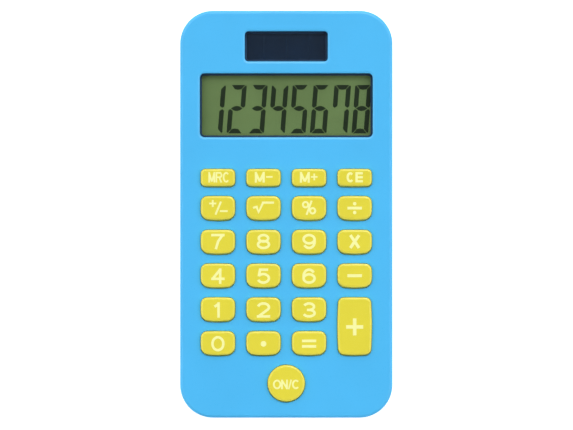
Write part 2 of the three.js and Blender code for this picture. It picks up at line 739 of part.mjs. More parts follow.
casePosts.forEach(({ x, y }, index) => place(`case_screw_${index + 1}`,
  screw(caseScrewRadius, caseScrewLength, caseHeadRadius, caseHeadHeight),
  steel, x, y, rearZ + caseHeadSink));
boardPosts.forEach(({ x, y }, index) => place(`board_screw_${index + 1}`,
  screw(boardScrewRadius, boardScrewLength, boardHeadRadius, boardHeadHeight),
  steel, x, y, boardZ - seatGap - boardHeadHeight));

// ---- Button cell, contacts, door and leads ----

const buttonCapRadius = buttonRadius - chamfer - 2 * buttonCapHeight;
const buttonProfile = [[0, 0], [buttonRadius - chamfer, 0], [buttonRadius, chamfer],
  [buttonRadius, buttonHeight - 2 * buttonCapHeight],
  [buttonCapRadius + buttonSealWidth, buttonHeight - buttonCapHeight],
  [buttonCapRadius, buttonHeight], [0, buttonHeight]];
place("button_cell", turned(buttonProfile, 24), steel, buttonX, buttonY, buttonZ);

// The negative strip lies over the cell and bends down outside the well's wall.
const negativeX = buttonX + contactReach;
const negativeTopZ = contactZ + contactThickness;
const negativeNearY = contactEndY - contactThickness;
const negativeLowZ = boardZ - contactDrop;
place("battery_contact_negative", bentStrip([
  [buttonY + contactReach, contactZ], [buttonY + contactReach, negativeTopZ], [negativeNearY, negativeTopZ],
  [negativeNearY, negativeLowZ], [contactEndY, negativeLowZ], [contactEndY, contactZ]],
  contactWidth - 2 * slotSideGap), steel, negativeX);

// The positive strip stands against the cell's side, in the slot of the well's wall.
const positiveX = buttonX - contactWidth / 2 + slotSideGap;
const positiveY = buttonY - buttonRadius - contactSideGap;
const positiveFootZ = doorPadTop + contactFootRise;
const positiveTopZ = buttonZ + buttonHeight - contactTopDrop;
place("battery_contact_positive", bentStrip([
  [positiveY, positiveFootZ], [positiveY, positiveTopZ], [positiveY - contactThickness, positiveTopZ],
  [positiveY - contactThickness, positiveFootZ + contactThickness],
  [contactEndY, positiveFootZ + contactThickness], [contactEndY, positiveFootZ]],
  contactWidth), steel, positiveX);

function batteryDoor() {
  const outline = roundedRectangle(doorWidth, doorLength, doorRadius, 3, doorX - buttonX, 0);
  const cellPad = cylinder(buttonRadius - doorCellPadInset, 0, doorCellPadHeight, 0, 0, 24);
  const screwBoss = cylinder(doorBossRadius, 0, doorBossHeight, doorScrewOffset, 0);
  const headSeat = doorHeadSink + doorHeadHeight;
  const cutters = [
    cylinder(doorHeadRadius + recessGap, -cutPast, headSeat, doorScrewOffset, 0),
    cylinder(doorScrewRadius + holeGap, -cutPast, doorBossHeight + cutPast, doorScrewOffset, 0, 12),
  ];
  return geometryOf(cut(join(solid(prism(outline, 0, doorThickness)), [cellPad, screwBoss]), cutters));
}

place("battery_door", batteryDoor(), blueCase, buttonX, buttonY, rearZ);
place("battery_door_screw", screw(doorScrewRadius, doorScrewLength, doorHeadRadius, doorHeadHeight - seatGap),
  steel, doorScrewX, buttonY, rearZ + doorHeadSink);

// Each lead runs from its contact or from the solar cell to a solder pad under the board's far edge.
const padZ = boardZ - seatGap - wireRadius - solderGap;
const padY = boardFarY - 3;
const leadStartY = contactEndY - 0.4;
place("battery_lead_positive", wire([
  [positiveX, leadStartY, positiveFootZ + 0.1], [positiveX - 0.4, leadStartY - 1.6, positiveFootZ + 0.2],
  [positiveX, padY, padZ]]), redWire);
place("battery_lead_negative", wire([
  [negativeX, leadStartY - contactThickness, boardZ - 0.9], [negativeX + 0.4, padY + 1.8, padZ],
  [negativeX, padY - 1, padZ]]), blackWire);
const solarLeadZ = paneZ - seatGap - cellThickness - wireRadius - seatGap;
[["solar_lead_positive", 8, redWire], ["solar_lead_negative", 5, blackWire]].forEach(([name, x, material]) =>
  place(name, wire([
    [x, solarY, solarLeadZ], [x, solarY - 2, solarLeadZ - 0.2], [x + 2, solarY - 8, frameZ - 1.4],
    [x + 6, displayY, floorZ + 1.2], [x + 6, boardFarY + 1, padZ - 0.3], [x + 6, padY - 1, padZ],
  ]), material));

// ---- Feet ----

const footTop = footHeight + footSink - seatGap;
const footProfile = [
  [0, 0], [footRadius - chamfer, 0], [footRadius, chamfer], [footRadius, footTop], [0, footTop]];
feet.forEach(({ x, y }, index) =>
  place(`rubber_foot_${index + 1}`, turned(footProfile, 20), darkRubber, x, y, 0));

export default calculator;
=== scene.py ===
"""A slim pocket calculator with a solar cell, an eight-figure display and yellow keys.

Everything is in metres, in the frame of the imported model: +X is the calculator's right-hand side,
+Y its solar-cell end and +Z the side with the keys. It lies on its rubber feet at z = 0.
"""

import math

import bmesh
import bpy
from bpy.props import FloatProperty, IntProperty, PointerProperty, StringProperty
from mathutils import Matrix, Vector
from mathutils.geometry import tessellate_polygon


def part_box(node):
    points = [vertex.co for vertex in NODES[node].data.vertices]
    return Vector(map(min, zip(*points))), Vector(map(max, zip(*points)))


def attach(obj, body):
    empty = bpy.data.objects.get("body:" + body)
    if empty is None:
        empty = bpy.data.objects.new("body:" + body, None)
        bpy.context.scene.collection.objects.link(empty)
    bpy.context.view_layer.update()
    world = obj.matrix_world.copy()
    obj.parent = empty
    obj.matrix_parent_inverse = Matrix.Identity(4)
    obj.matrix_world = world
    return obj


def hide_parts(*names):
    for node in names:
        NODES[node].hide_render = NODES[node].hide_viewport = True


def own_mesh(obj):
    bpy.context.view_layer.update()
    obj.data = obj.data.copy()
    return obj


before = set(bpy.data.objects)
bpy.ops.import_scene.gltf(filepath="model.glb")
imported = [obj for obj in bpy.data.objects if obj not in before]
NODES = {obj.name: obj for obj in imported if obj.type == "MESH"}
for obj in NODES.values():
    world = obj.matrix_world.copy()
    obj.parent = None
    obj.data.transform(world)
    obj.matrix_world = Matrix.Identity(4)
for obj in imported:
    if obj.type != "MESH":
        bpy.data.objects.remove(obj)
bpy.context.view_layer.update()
MM = 0.001
WHITE = (1.0, 1.0, 1.0, 1.0)

bl_info = {
    "name": "Pocket calculator",
    "version": (1, 0, 0),
    "blender": (4, 5, 0),
    "location": "View3D > Sidebar > Calculator",
    "description": "Builds a pocket calculator's shells, keys and fittings round its packed model",
    "category": "Object",
}


def length(name, description, millimetres):
    """A length property, kept in metres and given here in millimetres."""
    return FloatProperty(
        name=name,
        description=description,
        default=millimetres * MM,
        min=0.0,
        precision=5,
        subtype="DISTANCE",
        unit="LENGTH",
    )


def colour(name, description, value):
    """A colour property, kept as an sRGB hex value."""
    return StringProperty(name=name, description=description, default=value)


# ---------------------------------------------------------------------------
# Settings
# ---------------------------------------------------------------------------


class CaseSettings(bpy.types.PropertyGroup):
    """Sizes and colour of the two moulded shells and the battery door."""

    colour: colour("Case colour", "Light blue of the moulded shells", "#4BBFFC")
    corner_radius: length("Corner radius", "Radius of the case's four corners, seen from above", 9.3)
    face_edge: length("Face edge", "Radius of the edge round the key face", 0.9)
    rear_edge: length("Rear edge", "Radius of the edge round the back", 1.6)
    side_wall: length("Side wall", "Thickness of the shells' side walls", 1.6)
    face_wall: length("Face wall", "Thickness of the front shell's face", 1.4)
    rear_wall: length("Rear wall", "Thickness of the rear shell's floor", 1.2)
    lip_wall: length("Lip wall", "Thickness of the rear shell's lip", 0.7)
    lip_gap: length("Lip gap", "Air between the lip and the front shell", 0.1)
    seam_edge: length("Seam edge", "Radius that breaks the shells' edges along the seam", 0.15)
    seam_gap: length("Seam gap", "Height of the groove between the two shells", 0.3)
    key_rim: length("Key hole edge", "Radius round each key's hole in the face", 0.06)
    window_rim: length("Window edge", "Radius round each window's hole in the face", 0.2)
    window_shoulder: length("Window shoulder", "Width of the shallow slope round each window", 0.42)
    grain: length("Grain", "Width of the fine grain that the mould leaves on the shells", 0.22)


class KeySettings(bpy.types.PropertyGroup):
    """Sizes and colours of the keys and their printed legends."""

    colour: colour("Key colour", "Yellow of the moulded keys", "#EBDF42")
    ink: colour("Legend colour", "Pale yellow of the printed legends", "#FFFFA8")
    flange: length("Flange", "How far a key's flange reaches out under the face", 0.8)
    flange_height: length("Flange height", "Thickness of a key's flange", 0.7)
    flange_gap: length("Flange gap", "Air between a key's flange and the underside of the face", 0.1)
    plunger: length("Plunger", "Radius of the plunger under a key", 1.7)
    gap: length("Key gap", "Air between a key and its hole", 0.06)
    swell: length("Swell", "How much a cap's moulding stands out of its packed block, all round", 0.09)
    draft: length("Draft", "How much a key's wall leans in from the face to its top", 0.04)
    near_draft: length("Near draft", "How much more a key's near wall leans in", 0.3)
    edge: length("Key edge", "Radius of the edge round a key's top", 0.22)
    shoulder: length("Key shoulder", "Width of the shallow slope round a key's top", 0.38)
    legend_rise: length("Legend rise", "How far the legends sit above the keys' middles", 0.21)
    ink_thickness: length("Ink thickness", "Thickness of a printed legend", 0.012)
    grain: length("Grain", "Width of the fine grain on the keys", 0.16)
    figure_width: length("Figure width", "Width of a printed figure", 3.8)
    figure_height: length("Figure height", "Height of a printed figure", 4.35)
    figure_stroke: length("Figure stroke", "Width of a printed figure's line", 0.72)
    figure_drop: length("Figure drop", "How much lower the figures under the top row are printed", 0.22)


class DisplaySettings(bpy.types.PropertyGroup):
    """Sizes and colours of the liquid-crystal display and the solar cell."""

    figures: StringProperty(name="Figures", description="What the display reads", default="12345678")
    background: colour("Display background", "Olive green of the unlit liquid crystal", "#798F5D")
    segment: colour("Segment colour", "Dark green of a segment that is on", "#1E3218")
    figure_height: length("Figure height", "Height of a figure", 13.7)
    figure_width: length("Figure width", "Width of a figure", 4.7)
    figure_pitch: length("Figure pitch", "Distance from one figure to the next", 5.9)
    stroke: length("Stroke", "Width of a segment", 1.3)
    right_margin: length("Right margin", "From the last figure's middle to the window's edge", 3.05)
    drop: length("Drop", "How far the figures' middle lies under the window's middle", 1.0)
    slant: FloatProperty(
        name="Slant", description="How far the figures lean", default=math.radians(4.5), subtype="ANGLE"
    )
    solar: colour("Solar cell", "Dark navy of the amorphous silicon", "#092038")
    scribe: colour("Scribed lines", "Navy of the lines that part the solar cell's strips", "#14273C")
    # The border is a ring of painted shade: navy laid under each pane round its window, where the
    # window's recess walls cast their shade.
    border: length("Painted window shade", "Width of the navy ring of painted shade round a window", 0.55)
    window_shade_colour: colour("Window shade colour", "Dark navy of the painted shade round the windows", "#073A60")
    strips: IntProperty(name="Strips", description="Strips scribed into the solar cell", default=4)


class FittingSettings(bpy.types.PropertyGroup):
    """Sizes and colours of the screws, feet, battery door and key membrane."""

    roundness: FloatProperty(
        name="Roundness", description="0 gives sharp edges and 1 a ball", default=0.16, min=0.01, max=1.0
    )
    head_height: length("Head height", "Height of a case screw's head", 1.1)
    small_head_height: length("Small head height", "Height of a board or door screw's head", 0.8)
    shank: length("Shank", "Radius of a case screw's shank", 1.0)
    small_shank: length("Small shank", "Radius of a board or door screw's shank", 0.8)
    recess_width: length("Recess width", "Width of a slot of the screws' cross recess", 0.5)
    recess_depth: length("Recess depth", "Depth of the screws' cross recess", 0.5)
    recess_share: FloatProperty(
        name="Recess share", description="Share of a screw's head that its cross spans", default=0.625,
        min=0.1, max=0.9,
    )
    foot_colour: colour("Foot colour", "Dark grey of the rubber feet", "#3B3E40")
    recess_gap: length("Recess gap", "Air round a foot or a screw's head in its recess", 0.15)
    post: length("Post", "Radius of the posts that the case screws go into", 2.5)
    small_post: length("Small post", "Radius of the posts that the board screws go into", 1.8)
    rear_post: length("Rear post", "Radius of the posts that the case screws go through", 3.0)
    post_gap: length("Post gap", "Air round a case screw's post where it passes the membrane", 0.15)
    hole_gap: length("Hole gap", "Air round a screw's shank in its hole", 0.1)
    seat_gap: length("Seat gap", "Air between two pieces that rest on each other", 0.05)
    door_gap: length("Door gap", "Air round the battery door", 0.2)
    door_corner: length("Door corner", "Radius of the battery door's corners", 1.5)
    door_edge: length("Door edge", "Radius of the edge round the battery door's outer face", 0.2)
    door_plate: length("Door plate", "Thickness of the battery door", 0.9)
    door_pad: length("Door pad", "How far inside the button cell's edge the door's pad ends", 0.3)
    door_boss: length("Door boss", "Radius of the boss round the door's screw", 2.1)
    rib_pitch: length("Rib pitch", "Distance between the grip ribs of the battery door", 1.3)
    rib_length: length("Rib length", "Length of a grip rib", 7.0)
    rib_width: length("Rib width", "Width of a grip rib", 0.6)
    rib_height: length("Rib height", "How far a grip rib stands out of the door", 0.25)
    rib_count: IntProperty(name="Ribs", description="Grip ribs on the battery door", default=5, min=1)
    sheet: length("Membrane sheet", "Thickness of the key membrane between its domes", 0.5)
    dome_base: length("Dome base", "Radius of a dome where it leaves the sheet", 3.2)
    dome_top: length("Dome top", "Radius of a dome's flat top", 2.1)
    dome_skin: length("Dome skin", "Thickness of a dome's wall", 0.4)
    dome_edge: length("Dome edge", "Height of the slopes at a dome's foot and at its top", 0.15)
    sheet_corner: length("Sheet corner", "Radius of the key membrane's corners", 6.0)
    dome_keep: FloatProperty(
        name="Dome keep", description="Share of its height that a pressed dome keeps", default=0.27,
        min=0.05, max=1.0,
    )


# ---------------------------------------------------------------------------
# Outlines: lists of (x, y), anticlockwise
# ---------------------------------------------------------------------------


def circle(radius, centre=(0.0, 0.0), sides=48):
    """A circle that starts on the right."""
    turns = [2 * math.pi * side / sides for side in range(sides)]
    return [(centre[0] + radius * math.cos(a), centre[1] + radius * math.sin(a)) for a in turns]


def rounded(width, height, radius, centre=(0.0, 0.0), steps=8, side_steps=1):
    """A rectangle with round corners, and points along its straight sides."""
    corners = []
    for corner, (sx, sy) in enumerate(((1, 1), (-1, 1), (-1, -1), (1, -1))):
        for step in range(steps + 1):
            angle = (corner + step / steps) * math.pi / 2
            x = sx * (width / 2 - radius) + radius * math.cos(angle)
            y = sy * (height / 2 - radius) + radius * math.sin(angle)
            corners.append((x, y))
    points = []
    for index, (x, y) in enumerate(corners):
        points.append((centre[0] + x, centre[1] + y))
        if index % (steps + 1) == steps:
            nx, ny = corners[(index + 1) % len(corners)]
            for step in range(1, side_steps):
                share = step / side_steps
                points.append((centre[0] + x + share * (nx - x), centre[1] + y + share * (ny - y)))
    return points


def bowed(width, height, radius, bow, centre):
    """A rounded rectangle whose sides bow out. bow is how far the corners drop behind the middles of
    the far half of the sides, the near half of the sides, the far end and the near end."""
    side_far, side_near, end_far, end_near = bow
    points = []
    for x, y in rounded(width, height, radius, steps=7, side_steps=8):
        along_x = 2 * x / width
        along_y = 2 * y / height
        side = side_near if y < 0 else side_far
        end = end_near if y < 0 else end_far
        bowed_x = x * (1 - 2 * side / width * along_y**2)
        bowed_y = y * (1 - 2 * end / height * along_x**2)
        points.append((centre[0] + bowed_x, centre[1] + bowed_y))
    return points


def middle(low, high):
    """The middle of a box, seen from above."""
    return ((low.x + high.x) / 2, (low.y + high.y) / 2)


# ---------------------------------------------------------------------------
# Skins: closed meshes built from rings of points
# ---------------------------------------------------------------------------


class Skin:
    """A closed mesh made of walls between rings and of flat plates with holes."""

    def __init__(self):
        self.bm = bmesh.new()

    def ring(self, outline, z):
        """An outline's points at a height."""
        return [self.bm.verts.new((x, y, z)) for x, y in outline]

    def wall(self, low, high):
        """The wall from one ring up to another. It faces outwards of an anticlockwise ring."""
        count = len(low)
        for i in range(count):
            j = (i + 1) % count
            self.bm.faces.new((low[i], low[j], high[j], high[i]))

    def stack(self, sections):
        """The walls through (outline, z) sections. Returns the first and the last ring."""
        rings = [self.ring(outline, z) for outline, z in sections]
        for low, high in zip(rings, rings[1:]):
            self.wall(low, high)
        return rings[0], rings[-1]

    def plate(self, outer, holes=(), up=True):
        """A flat face from an outer ring in to the rings of its holes."""
        rings = [outer, *holes]
        verts = [vert for ring in rings for vert in ring]
        for triangle in tessellate_polygon([[vert.co for vert in ring] for ring in rings]):
            corners = [verts[index] for index in triangle]
            normal = (corners[1].co - corners[0].co).cross(corners[2].co - corners[0].co)
            if (normal.z > 0) != up:
                corners.reverse()
            self.bm.faces.new(corners)

    def piece(self, name, material, body):
        """Ends the skin as a named piece on a body."""
        return finish_piece(name, mesh_of(self), material, body)


# Faces that meet at more than this angle keep a sharp edge between them
SHARP_ANGLE = math.radians(35.0)


def finish_piece(name, mesh, material, body):
    """Makes a mesh a piece with one material, smooth but for its sharp edges, that rides on a body."""
    mesh.materials.clear()
    mesh.materials.append(material)
    mesh.shade_smooth()
    mesh.set_sharp_from_angle(angle=SHARP_ANGLE)
    piece = bpy.data.objects.new(name, mesh)
    bpy.context.scene.collection.objects.link(piece)
    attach(piece, body)
    return piece


def quarter(radius, steps=6):
    """(inset, rise) pairs along a quarter round, from the foot of the round to its top."""
    angles = [step / steps * math.pi / 2 for step in range(steps + 1)]
    return [(radius * (1 - math.cos(a)), radius * math.sin(a)) for a in angles]


def prism(skin, outline, low, high, hole=None):
    """A closed block between two heights, with a hole right through it if one is given."""
    bottom, top = skin.stack([(outline, low), (outline, high)])
    low_holes, high_holes = [], []
    if hole:
        low_ring, high_ring = hole_wall(skin, [(hole, low), (hole, high)])
        low_holes.append(low_ring)
        high_holes.append(high_ring)
    skin.plate(bottom, low_holes, up=False)
    skin.plate(top, high_holes)


def hole_wall(skin, sections):
    """Walls that face into a hole, through (outline, z) sections from the bottom up."""
    rings = [skin.ring(outline, z) for outline, z in sections]
    for low, high in zip(rings, rings[1:]):
        skin.wall(high, low)
    return rings[0], rings[-1]


def blind_hole(skin, outline, mouth, end):
    """A hole from its mouth up to a flat end. Returns the ring at its mouth."""
    low, high = hole_wall(skin, [(outline, mouth), (outline, end)])
    skin.plate(high, up=False)
    return low


def hanging_post(skin, outline, root, end, hole=None, hole_end=0.0):
    """A post from a ceiling down to its end, with a blind screw hole. Returns the ring at its root."""
    low, high = skin.stack([(outline, end), (outline, root)])
    skin.plate(low, [blind_hole(skin, hole, end, hole_end)] if hole else [], up=False)
    return high


def mesh_of(skin):
    """Ends a skin as a plain mesh."""
    mesh = bpy.data.meshes.new("skin")
    skin.bm.normal_update()
    skin.bm.to_mesh(mesh)
    skin.bm.free()
    return mesh


def evaluated_mesh(holder):
    """An object's mesh with its modifiers applied."""
    depsgraph = bpy.context.evaluated_depsgraph_get()
    return bpy.data.meshes.new_from_object(holder.evaluated_get(depsgraph))


def boolean(mesh, tool, operation):
    """The mesh after a boolean with another one."""
    holders = [bpy.data.objects.new("operand", operand) for operand in (mesh, tool)]
    for holder in holders:
        bpy.context.scene.collection.objects.link(holder)
    change = holders[0].modifiers.new("boolean", "BOOLEAN")
    change.operation = operation
    change.solver = "EXACT"
    change.use_self = True
    change.object = holders[1]
    result = evaluated_mesh(holders[0])
    for holder in holders:
        bpy.data.objects.remove(holder)
    return result


# ---------------------------------------------------------------------------
# Materials
# ---------------------------------------------------------------------------


def linear(hex_colour):
    """The linear RGBA of an sRGB hex value."""
    channels = [int(hex_colour[i : i + 2], 16) / 255 for i in (1, 3, 5)]
    return (*[c / 12.92 if c <= 0.04045 else ((c + 0.055) / 1.055) ** 2.4 for c in channels], 1.0)


def set_inputs(tree, node, inputs):
    """Sets a node's inputs: each to a value, to a socket, or to a node's first output."""
    for key, source in inputs.items():
        if isinstance(source, bpy.types.Node):
            source = source.outputs[0]
        if isinstance(source, bpy.types.NodeSocket):
            tree.links.new(source, node.inputs[key])
        else:
            node.inputs[key].default_value = source


def add_node(tree, kind, inputs=None, **settings):
    """Adds a node with its inputs and settings."""
    node = tree.nodes.new(kind)
    for key, value in settings.items():
        setattr(node, key, value)
    set_inputs(tree, node, inputs or {})
    return node


def new_material(name, kind="ShaderNodeBsdfPrincipled"):
    """A node material with one shader. Returns the material, its tree and the shader."""
    material = bpy.data.materials.new(name)
    material.use_nodes = True
    tree = material.node_tree
    tree.nodes.clear()
    shader = add_node(tree, kind)
    add_node(tree, "ShaderNodeOutputMaterial", {"Surface": shader})
    return material, tree, shader


# Nearly all of a noise's values lie between these
NOISE_LOW = 0.3
NOISE_HIGH = 0.7


def object_noise(tree, size, detail=2.0):
    """Noise in object coordinates whose features are size metres across."""
    place = add_node(tree, "ShaderNodeTexCoord")
    noise = add_node(
        tree, "ShaderNodeTexNoise",
        {"Vector": place.outputs["Object"], "Scale": 1.0 / size, "Detail": detail, "Roughness": 0.5},
    )
    return noise.outputs["Fac"]


def tinted(tree, hex_colour, noise, spread):
    """A colour that a noise makes lighter and darker by a share."""
    ramp = add_node(tree, "ShaderNodeValToRGB", {"Fac": noise})
    stops = ((NOISE_LOW, 1 - spread), (NOISE_HIGH, 1 + spread))
    for element, (position, level) in zip(ramp.color_ramp.elements, stops):
        element.position = position
        element.color = (*[min(1.0, channel * level) for channel in linear(hex_colour)[:3]], 1.0)
    return ramp


def spread_between(tree, noise, low, high):
    """A number that a noise moves between two values."""
    ends = {"From Min": NOISE_LOW, "From Max": NOISE_HIGH, "To Min": low, "To Max": high}
    return add_node(tree, "ShaderNodeMapRange", {"Value": noise, **ends})


def moulded_plastic(name, hex_colour, grain, roughness, depth):
    """Injection-moulded ABS: coloured all through, with the mould's spark-eroded grain, which spreads
    its highlights, and faint clouds where the melt flowed."""
    material, tree, shader = new_material(name)
    clouds = object_noise(tree, 14 * MM)
    grains = object_noise(tree, grain, 3.0)
    bump = {"Height": grains, "Strength": 0.35, "Distance": depth}
    inputs = {
        "Base Color": tinted(tree, hex_colour, clouds, 0.02),
        "Roughness": spread_between(tree, grains, roughness - 0.05, roughness + 0.05),
        "Normal": add_node(tree, "ShaderNodeBump", bump),
        "IOR": 1.52,
    }
    set_inputs(tree, shader, inputs)
    return material


def printed_ink(name, hex_colour):
    """Printed ink: a thin satin film that lies a little unevenly on what it is printed on. It also
    colours the navy rings of painted shade round the windows.
    """
    material, tree, shader = new_material(name)
    mottle = object_noise(tree, 0.35 * MM)
    inputs = {
        "Base Color": tinted(tree, hex_colour, mottle, 0.02),
        "Roughness": spread_between(tree, mottle, 0.4, 0.5),
    }
    set_inputs(tree, shader, inputs)
    return material


def clear_sheet(name, tint, roughness):
    """Polished cast acrylic: it passes what is behind it, and its outer side mirrors the light by its
    angle."""
    material, tree, shader = new_material(name, "ShaderNodeMixShader")
    smears = spread_between(tree, object_noise(tree, 9 * MM), roughness * 0.7, roughness * 1.3)
    angle = add_node(tree, "ShaderNodeFresnel", {"IOR": 1.49})
    side = add_node(tree, "ShaderNodeNewGeometry")
    outer = {0: angle, 1: side.outputs["Backfacing"]}
    inputs = {
        0: add_node(tree, "ShaderNodeMath", outer, operation="SUBTRACT", use_clamp=True),
        1: add_node(tree, "ShaderNodeBsdfTransparent", {"Color": linear(tint)}),
        2: add_node(tree, "ShaderNodeBsdfGlossy", {"Color": WHITE, "Roughness": smears}),
    }
    set_inputs(tree, shader, inputs)
    return material


def laminated_film(name, tint):
    """A film or glass bonded to the next with clear gel: the bond leaves it nothing to mirror, so it
    only tints what is behind it, with a faint cloud from the rolls it was laid down by."""
    material, tree, shader = new_material(name, "ShaderNodeBsdfTransparent")
    set_inputs(tree, shader, {"Color": tinted(tree, tint, object_noise(tree, 12 * MM), 0.01)})
    return material


def liquid_crystal(name, hex_colour):
    """Unlit twisted-nematic liquid crystal over a brushed reflector: dull olive with fine grain."""
    material, tree, shader = new_material(name)
    inputs = {
        "Base Color": tinted(tree, hex_colour, object_noise(tree, 16 * MM), 0.05),
        "Roughness": spread_between(tree, object_noise(tree, 0.18 * MM), 0.42, 0.55),
    }
    set_inputs(tree, shader, inputs)
    return material


def silicon_cell(name, hex_colour, scribe_colour, pitch):
    """Amorphous silicon on glass: near-black navy with slow changes of shade, scribed into strips."""
    material, tree, shader = new_material(name)
    place = add_node(tree, "ShaderNodeTexCoord")
    parts = add_node(tree, "ShaderNodeSeparateXYZ", {"Vector": place.outputs["Object"]})
    along = add_node(tree, "ShaderNodeMath", {0: parts.outputs["X"], 1: pitch / 2}, operation="PINGPONG")
    line = {"Value": along, "From Min": 0.0, "From Max": 0.12 * MM, "To Min": 1.0, "To Max": 0.0}
    colours = {
        "Factor": add_node(tree, "ShaderNodeMapRange", line),
        6: tinted(tree, hex_colour, object_noise(tree, 5 * MM), 0.18),
        7: linear(scribe_colour),
    }
    mix = add_node(tree, "ShaderNodeMix", colours, data_type="RGBA")
    coat = {"Coat Weight": 0.6, "Coat Roughness": 0.06}
    set_inputs(tree, shader, {"Base Color": mix.outputs[2], "Roughness": 0.25, **coat})
    return material


def plated_steel(name, hex_colour, stroke):
    """Bright-plated steel, with the faint marks of its rolling and tumbling."""
    material, tree, shader = new_material(name)
    marks = object_noise(tree, stroke, 4.0)
    bump = {"Height": marks, "Strength": 0.2, "Distance": 0.01 * MM}
    inputs = {
        "Base Color": tinted(tree, hex_colour, marks, 0.06),
        "Roughness": spread_between(tree, marks, 0.22, 0.38),
        "Normal": add_node(tree, "ShaderNodeBump", bump),
        "Metallic": 1.0,
    }
    set_inputs(tree, shader, inputs)
    return material


def soft_rubber(name, hex_colour, grain):
    """Moulded rubber: dull, with a fine pitted skin."""
    material, tree, shader = new_material(name)
    pits = object_noise(tree, grain, 4.0)
    bump = {"Height": pits, "Strength": 0.4, "Distance": 0.03 * MM}
    inputs = {
        "Base Color": tinted(tree, hex_colour, pits, 0.12),
        "Roughness": spread_between(tree, pits, 0.72, 0.88),
        "Normal": add_node(tree, "ShaderNodeBump", bump),
    }
    set_inputs(tree, shader, inputs)
    return material


def phenolic_board(name, hex_colour):
    """Paper-phenolic laminate: brown, with the paper's fibres showing as short streaks along X."""
    material, tree, shader = new_material(name)
    place = add_node(tree, "ShaderNodeTexCoord")
    streaks = {"Vector": place.outputs["Object"], "Scale": (0.2, 1.0, 1.0)}
    stretched = add_node(tree, "ShaderNodeMapping", streaks)
    noise = {"Vector": stretched, "Scale": 1.0 / (0.4 * MM), "Detail": 3.0}
    fibres = add_node(tree, "ShaderNodeTexNoise", noise).outputs["Fac"]
    set_inputs(tree, shader, {"Base Color": tinted(tree, hex_colour, fibres, 0.15), "Roughness": 0.5})
    return material


def glazed(name, hex_colour, roughness, size):
    """A smooth hard body, such as resin, fired ceramic or insulation, with slow changes of shade."""
    material, tree, shader = new_material(name)
    clouds = object_noise(tree, size)
    inputs = {
        "Base Color": tinted(tree, hex_colour, clouds, 0.08),
        "Roughness": spread_between(tree, clouds, roughness * 0.8, roughness * 1.2),
    }
    set_inputs(tree, shader, inputs)
    return material


def finish_node(name, material):
    """Gives a CAD node a material."""
    mesh = NODES[name].data
    mesh.materials.clear()
    mesh.materials.append(material)


def glaze_node(name, material):
    """Gives a CAD node a clear material, and lets the light pass it unshaded to what lies behind."""
    finish_node(name, material)
    NODES[name].visible_shadow = False
    NODES[name].visible_diffuse = False


# ---------------------------------------------------------------------------
# What several pieces share
# ---------------------------------------------------------------------------

# The material that the shells and the door share
CASE_PLASTIC = "satin moulded ABS, light blue"

# How far in a flat face starts from a rounded edge, so that the edge's shading ends at it
SUPPORT = 0.04 * MM

# Tilt of the shallow shoulders round the windows and the keys' tops, which mirror the ring of lamps
SHOULDER_TILT = math.radians(16)

# Heights in thicknesses of the ink, measured down from the top of a key's packed block: where the cap
# ends, and where the print on it starts and ends. The print's foot is sunk in the cap.
CAP_TOP = 1.5
PRINT_TOP = 0.2
PRINT_FOOT = 2.0

KEYS = sorted(name for name in NODES if name.startswith("key_") and name != "key_membrane")
CASE_SCREWS = sorted(name for name in NODES if name.startswith("case_screw"))
BOARD_SCREWS = sorted(name for name in NODES if name.startswith("board_screw"))
FEET = sorted(name for name in NODES if name.startswith("rubber_foot"))


def radius_of(node):
    """The radius of a node that is round when seen from above."""
    low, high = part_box(node)
    return (high.x - low.x) / 2


# ---------------------------------------------------------------------------
# Keys
# ---------------------------------------------------------------------------

# The corner radius of a key's outline, and how its sides bow out
KEY_SHAPE = (1.6 * MM, (0.15 * MM, 0.45 * MM, 0.1 * MM, 0.42 * MM))
MEMORY_SHAPE = (1.1 * MM, (0.12 * MM, 0.12 * MM, 0.05 * MM, 0.12 * MM))
SHAPES = {
    "key_memory_recall": MEMORY_SHAPE,
    "key_memory_minus": MEMORY_SHAPE,
    "key_memory_plus": MEMORY_SHAPE,
    "key_clear_entry": MEMORY_SHAPE,
    "key_plus": (1.4 * MM, (0.3 * MM, 0.3 * MM, 0.1 * MM, 0.35 * MM)),
}


def key_outline(name, margin, near=0.0):
    """A key's outline, grown all round by a margin, with its near end drawn in."""
    flange = bpy.context.scene.calculator_keys.flange
    low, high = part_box(name)
    width = high.x - low.x - 2 * flange + 2 * margin
    height = high.y - low.y - 2 * flange + 2 * margin - near
    centre = ((low.x + high.x) / 2, (low.y + high.y + near) / 2)
    if name == "key_on_clear":
        round_key = circle(width / 2, centre, 64)
        return [(x, centre[1] + (y - centre[1]) * height / width) for x, y in round_key]
    radius, bow = SHAPES.get(name, KEY_SHAPE)
    return bowed(width, height, radius + margin, bow, centre)


def shouldered(outline_at, rim, shoulder, top):
    """Outlines up a rounded edge and on over a shallow shoulder to a flat face."""
    tilt = math.tan(SHOULDER_TILT)
    start = top - shoulder * tilt
    edge = [(outline_at(inset), start - rim + rise) for inset, rise in quarter(rim)]
    return [
        *edge,
        (outline_at(rim + SUPPORT), start + SUPPORT * tilt),
        (outline_at(rim + shoulder), top),
        (outline_at(rim + shoulder + SUPPORT), top),
    ]


